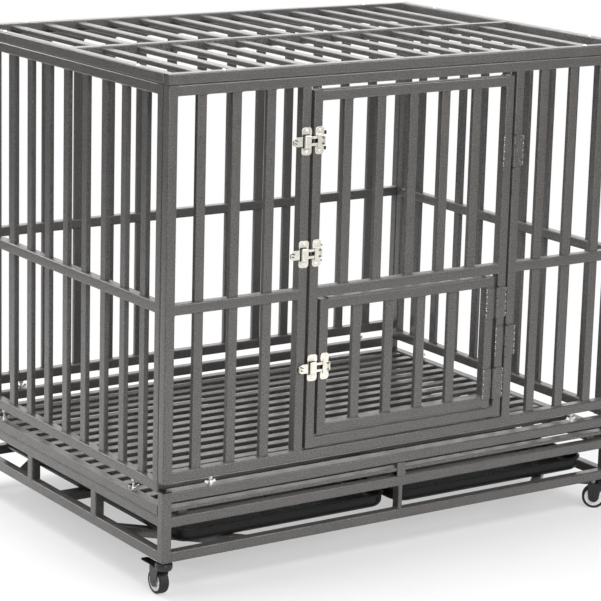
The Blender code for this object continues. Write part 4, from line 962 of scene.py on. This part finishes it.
def makeStage():
    bm = bmesh.new()
    bmesh.ops.create_grid(bm, x_segments=1, y_segments=1, size=stage["floorSize"] / 2)
    mesh = bpy.data.meshes.new("floor")
    bm.to_mesh(mesh)
    bm.free()
    floor = bpy.data.objects.new("floor", mesh)
    bpy.context.scene.collection.objects.link(floor)
    material = bpy.data.materials.new("paleFloor")
    material.use_nodes = True
    nodes, links = material.node_tree.nodes, material.node_tree.links
    shader = nodes["Principled BSDF"]
    shader.inputs["Base Color"].default_value = (stage["floorTone"],) * 3 + (1,)
    shader.inputs["Roughness"].default_value = 0.7
    shader.inputs["Specular IOR Level"].default_value = 0.2
    # the floor is seen partly white near the crate, so that its shadow shows, and all white far off
    coords = nodes.new("ShaderNodeTexCoord")
    distance = nodes.new("ShaderNodeVectorMath")
    distance.operation = "LENGTH"
    links.new(coords.outputs["Object"], distance.inputs[0])
    fade = nodes.new("ShaderNodeMapRange")
    fade.interpolation_type = "SMOOTHSTEP"
    fade.inputs["From Min"].default_value = stage["fadeFrom"]
    fade.inputs["From Max"].default_value = stage["fadeTo"]
    fade.inputs["To Min"].default_value = stage["whiteShare"]
    links.new(distance.outputs["Value"], fade.inputs["Value"])
    rays = nodes.new("ShaderNodeLightPath")
    seen = nodes.new("ShaderNodeMath")
    seen.operation = "MULTIPLY"
    links.new(fade.outputs["Result"], seen.inputs[0])
    links.new(rays.outputs["Is Camera Ray"], seen.inputs[1])
    white = nodes.new("ShaderNodeEmission")
    mix = nodes.new("ShaderNodeMixShader")
    links.new(seen.outputs["Value"], mix.inputs["Fac"])
    links.new(shader.outputs["BSDF"], mix.inputs[1])
    links.new(white.outputs["Emission"], mix.inputs[2])
    links.new(mix.outputs["Shader"], nodes["Material Output"].inputs["Surface"])
    mesh.materials.append(material)


def makeWorld():
    world = bpy.data.worlds.new("studio")
    bpy.context.scene.world = world
    world.use_nodes = True
    nodes, links = world.node_tree.nodes, world.node_tree.links
    ambient = nodes["Background"]
    ambient.inputs["Color"].default_value = (1, 1, 1, 1)
    ambient.inputs["Strength"].default_value = stage["ambient"]
    white = nodes.new("ShaderNodeBackground")
    white.inputs["Color"].default_value = (1, 1, 1, 1)
    rays = nodes.new("ShaderNodeLightPath")
    # white to the camera, and partly white in reflections
    glossy = nodes.new("ShaderNodeMath")
    glossy.operation = "MULTIPLY"
    glossy.inputs[1].default_value = stage["glossyShare"]
    links.new(rays.outputs["Is Glossy Ray"], glossy.inputs[0])
    seen = nodes.new("ShaderNodeMath")
    seen.operation = "MAXIMUM"
    links.new(rays.outputs["Is Camera Ray"], seen.inputs[0])
    links.new(glossy.outputs["Value"], seen.inputs[1])
    mix = nodes.new("ShaderNodeMixShader")
    links.new(seen.outputs["Value"], mix.inputs["Fac"])
    links.new(ambient.outputs["Background"], mix.inputs[1])
    links.new(white.outputs["Background"], mix.inputs[2])
    links.new(mix.outputs["Shader"], nodes["World Output"].inputs["Surface"])


lamps = {
    "topSoftbox": {"at": (-0.2, 0.9, 3.2), "aim": (0, 0, 0.3), "size": 2.6, "power": 170},
    "leftSoftbox": {"at": (-2.3, 0.2, 1.5), "aim": (0, 0.1, 0.5), "size": 1.0, "power": 23},
    "edgeSoftbox": {"at": (-1.25, 2.4, 1.6), "aim": (-0.5, 0, 0.4), "size": 1.0, "power": 22},
    "nearSoftbox": {"at": (0.3, -1.7, 1.75), "aim": (0.1, -0.38, 0.35), "size": 2.4, "height": 0.8,
                    "power": 42},
    "frontSoftbox": {"at": (-0.6, -3.4, 1.5), "aim": (0, 0, 0.5), "size": 2.2, "power": 60},
    "backSoftbox": {"at": (1.6, 2.4, 1.65), "aim": (0, 0, 0.95), "size": 2.4, "power": 24},
}


def makeLamps():
    for name, lamp in lamps.items():
        light = bpy.data.lights.new(name, "AREA")
        light.shape = "RECTANGLE"
        light.size = lamp["size"]
        light.size_y = lamp.get("height", lamp["size"])
        light.energy = lamp["power"]
        holder = bpy.data.objects.new(name, light)
        bpy.context.scene.collection.objects.link(holder)
        holder.location = lamp["at"]
        holder.rotation_mode = "QUATERNION"
        holder.rotation_quaternion = (Vector(lamp["aim"]) - Vector(lamp["at"])).to_track_quat("-Z", "Y")


view = {"at": (-2.7250, -4.0051, 1.5768), "yaw": 33.358, "pitch": 12.491, "roll": -1.3492,
        "lens": 145.62, "shiftX": 0.0666, "shiftY": -0.0666}


def makeCamera():
    camera = bpy.data.cameras.new("camera")
    camera.lens = view["lens"]
    camera.sensor_width = 36
    camera.shift_x = view["shiftX"]
    camera.shift_y = view["shiftY"]
    holder = bpy.data.objects.new("camera", camera)
    bpy.context.scene.collection.objects.link(holder)
    yaw, pitch, roll = (math.radians(view[key]) for key in ("yaw", "pitch", "roll"))
    forward = Vector((math.sin(yaw) * math.cos(pitch), math.cos(yaw) * math.cos(pitch), -math.sin(pitch)))
    level = Vector((math.cos(yaw), -math.sin(yaw), 0))
    down = forward.cross(level)
    right = level * math.cos(roll) + down * math.sin(roll)
    below = down * math.cos(roll) - level * math.sin(roll)
    turn = Matrix((right, -below, -forward)).transposed()
    holder.matrix_world = Matrix.Translation(view["at"]) @ turn.to_4x4()
    bpy.context.scene.camera = holder


makeStage()
makeWorld()
makeLamps()
makeCamera()
bpy.context.scene.view_settings.view_transform = "Standard"
print("stage, light and camera set")
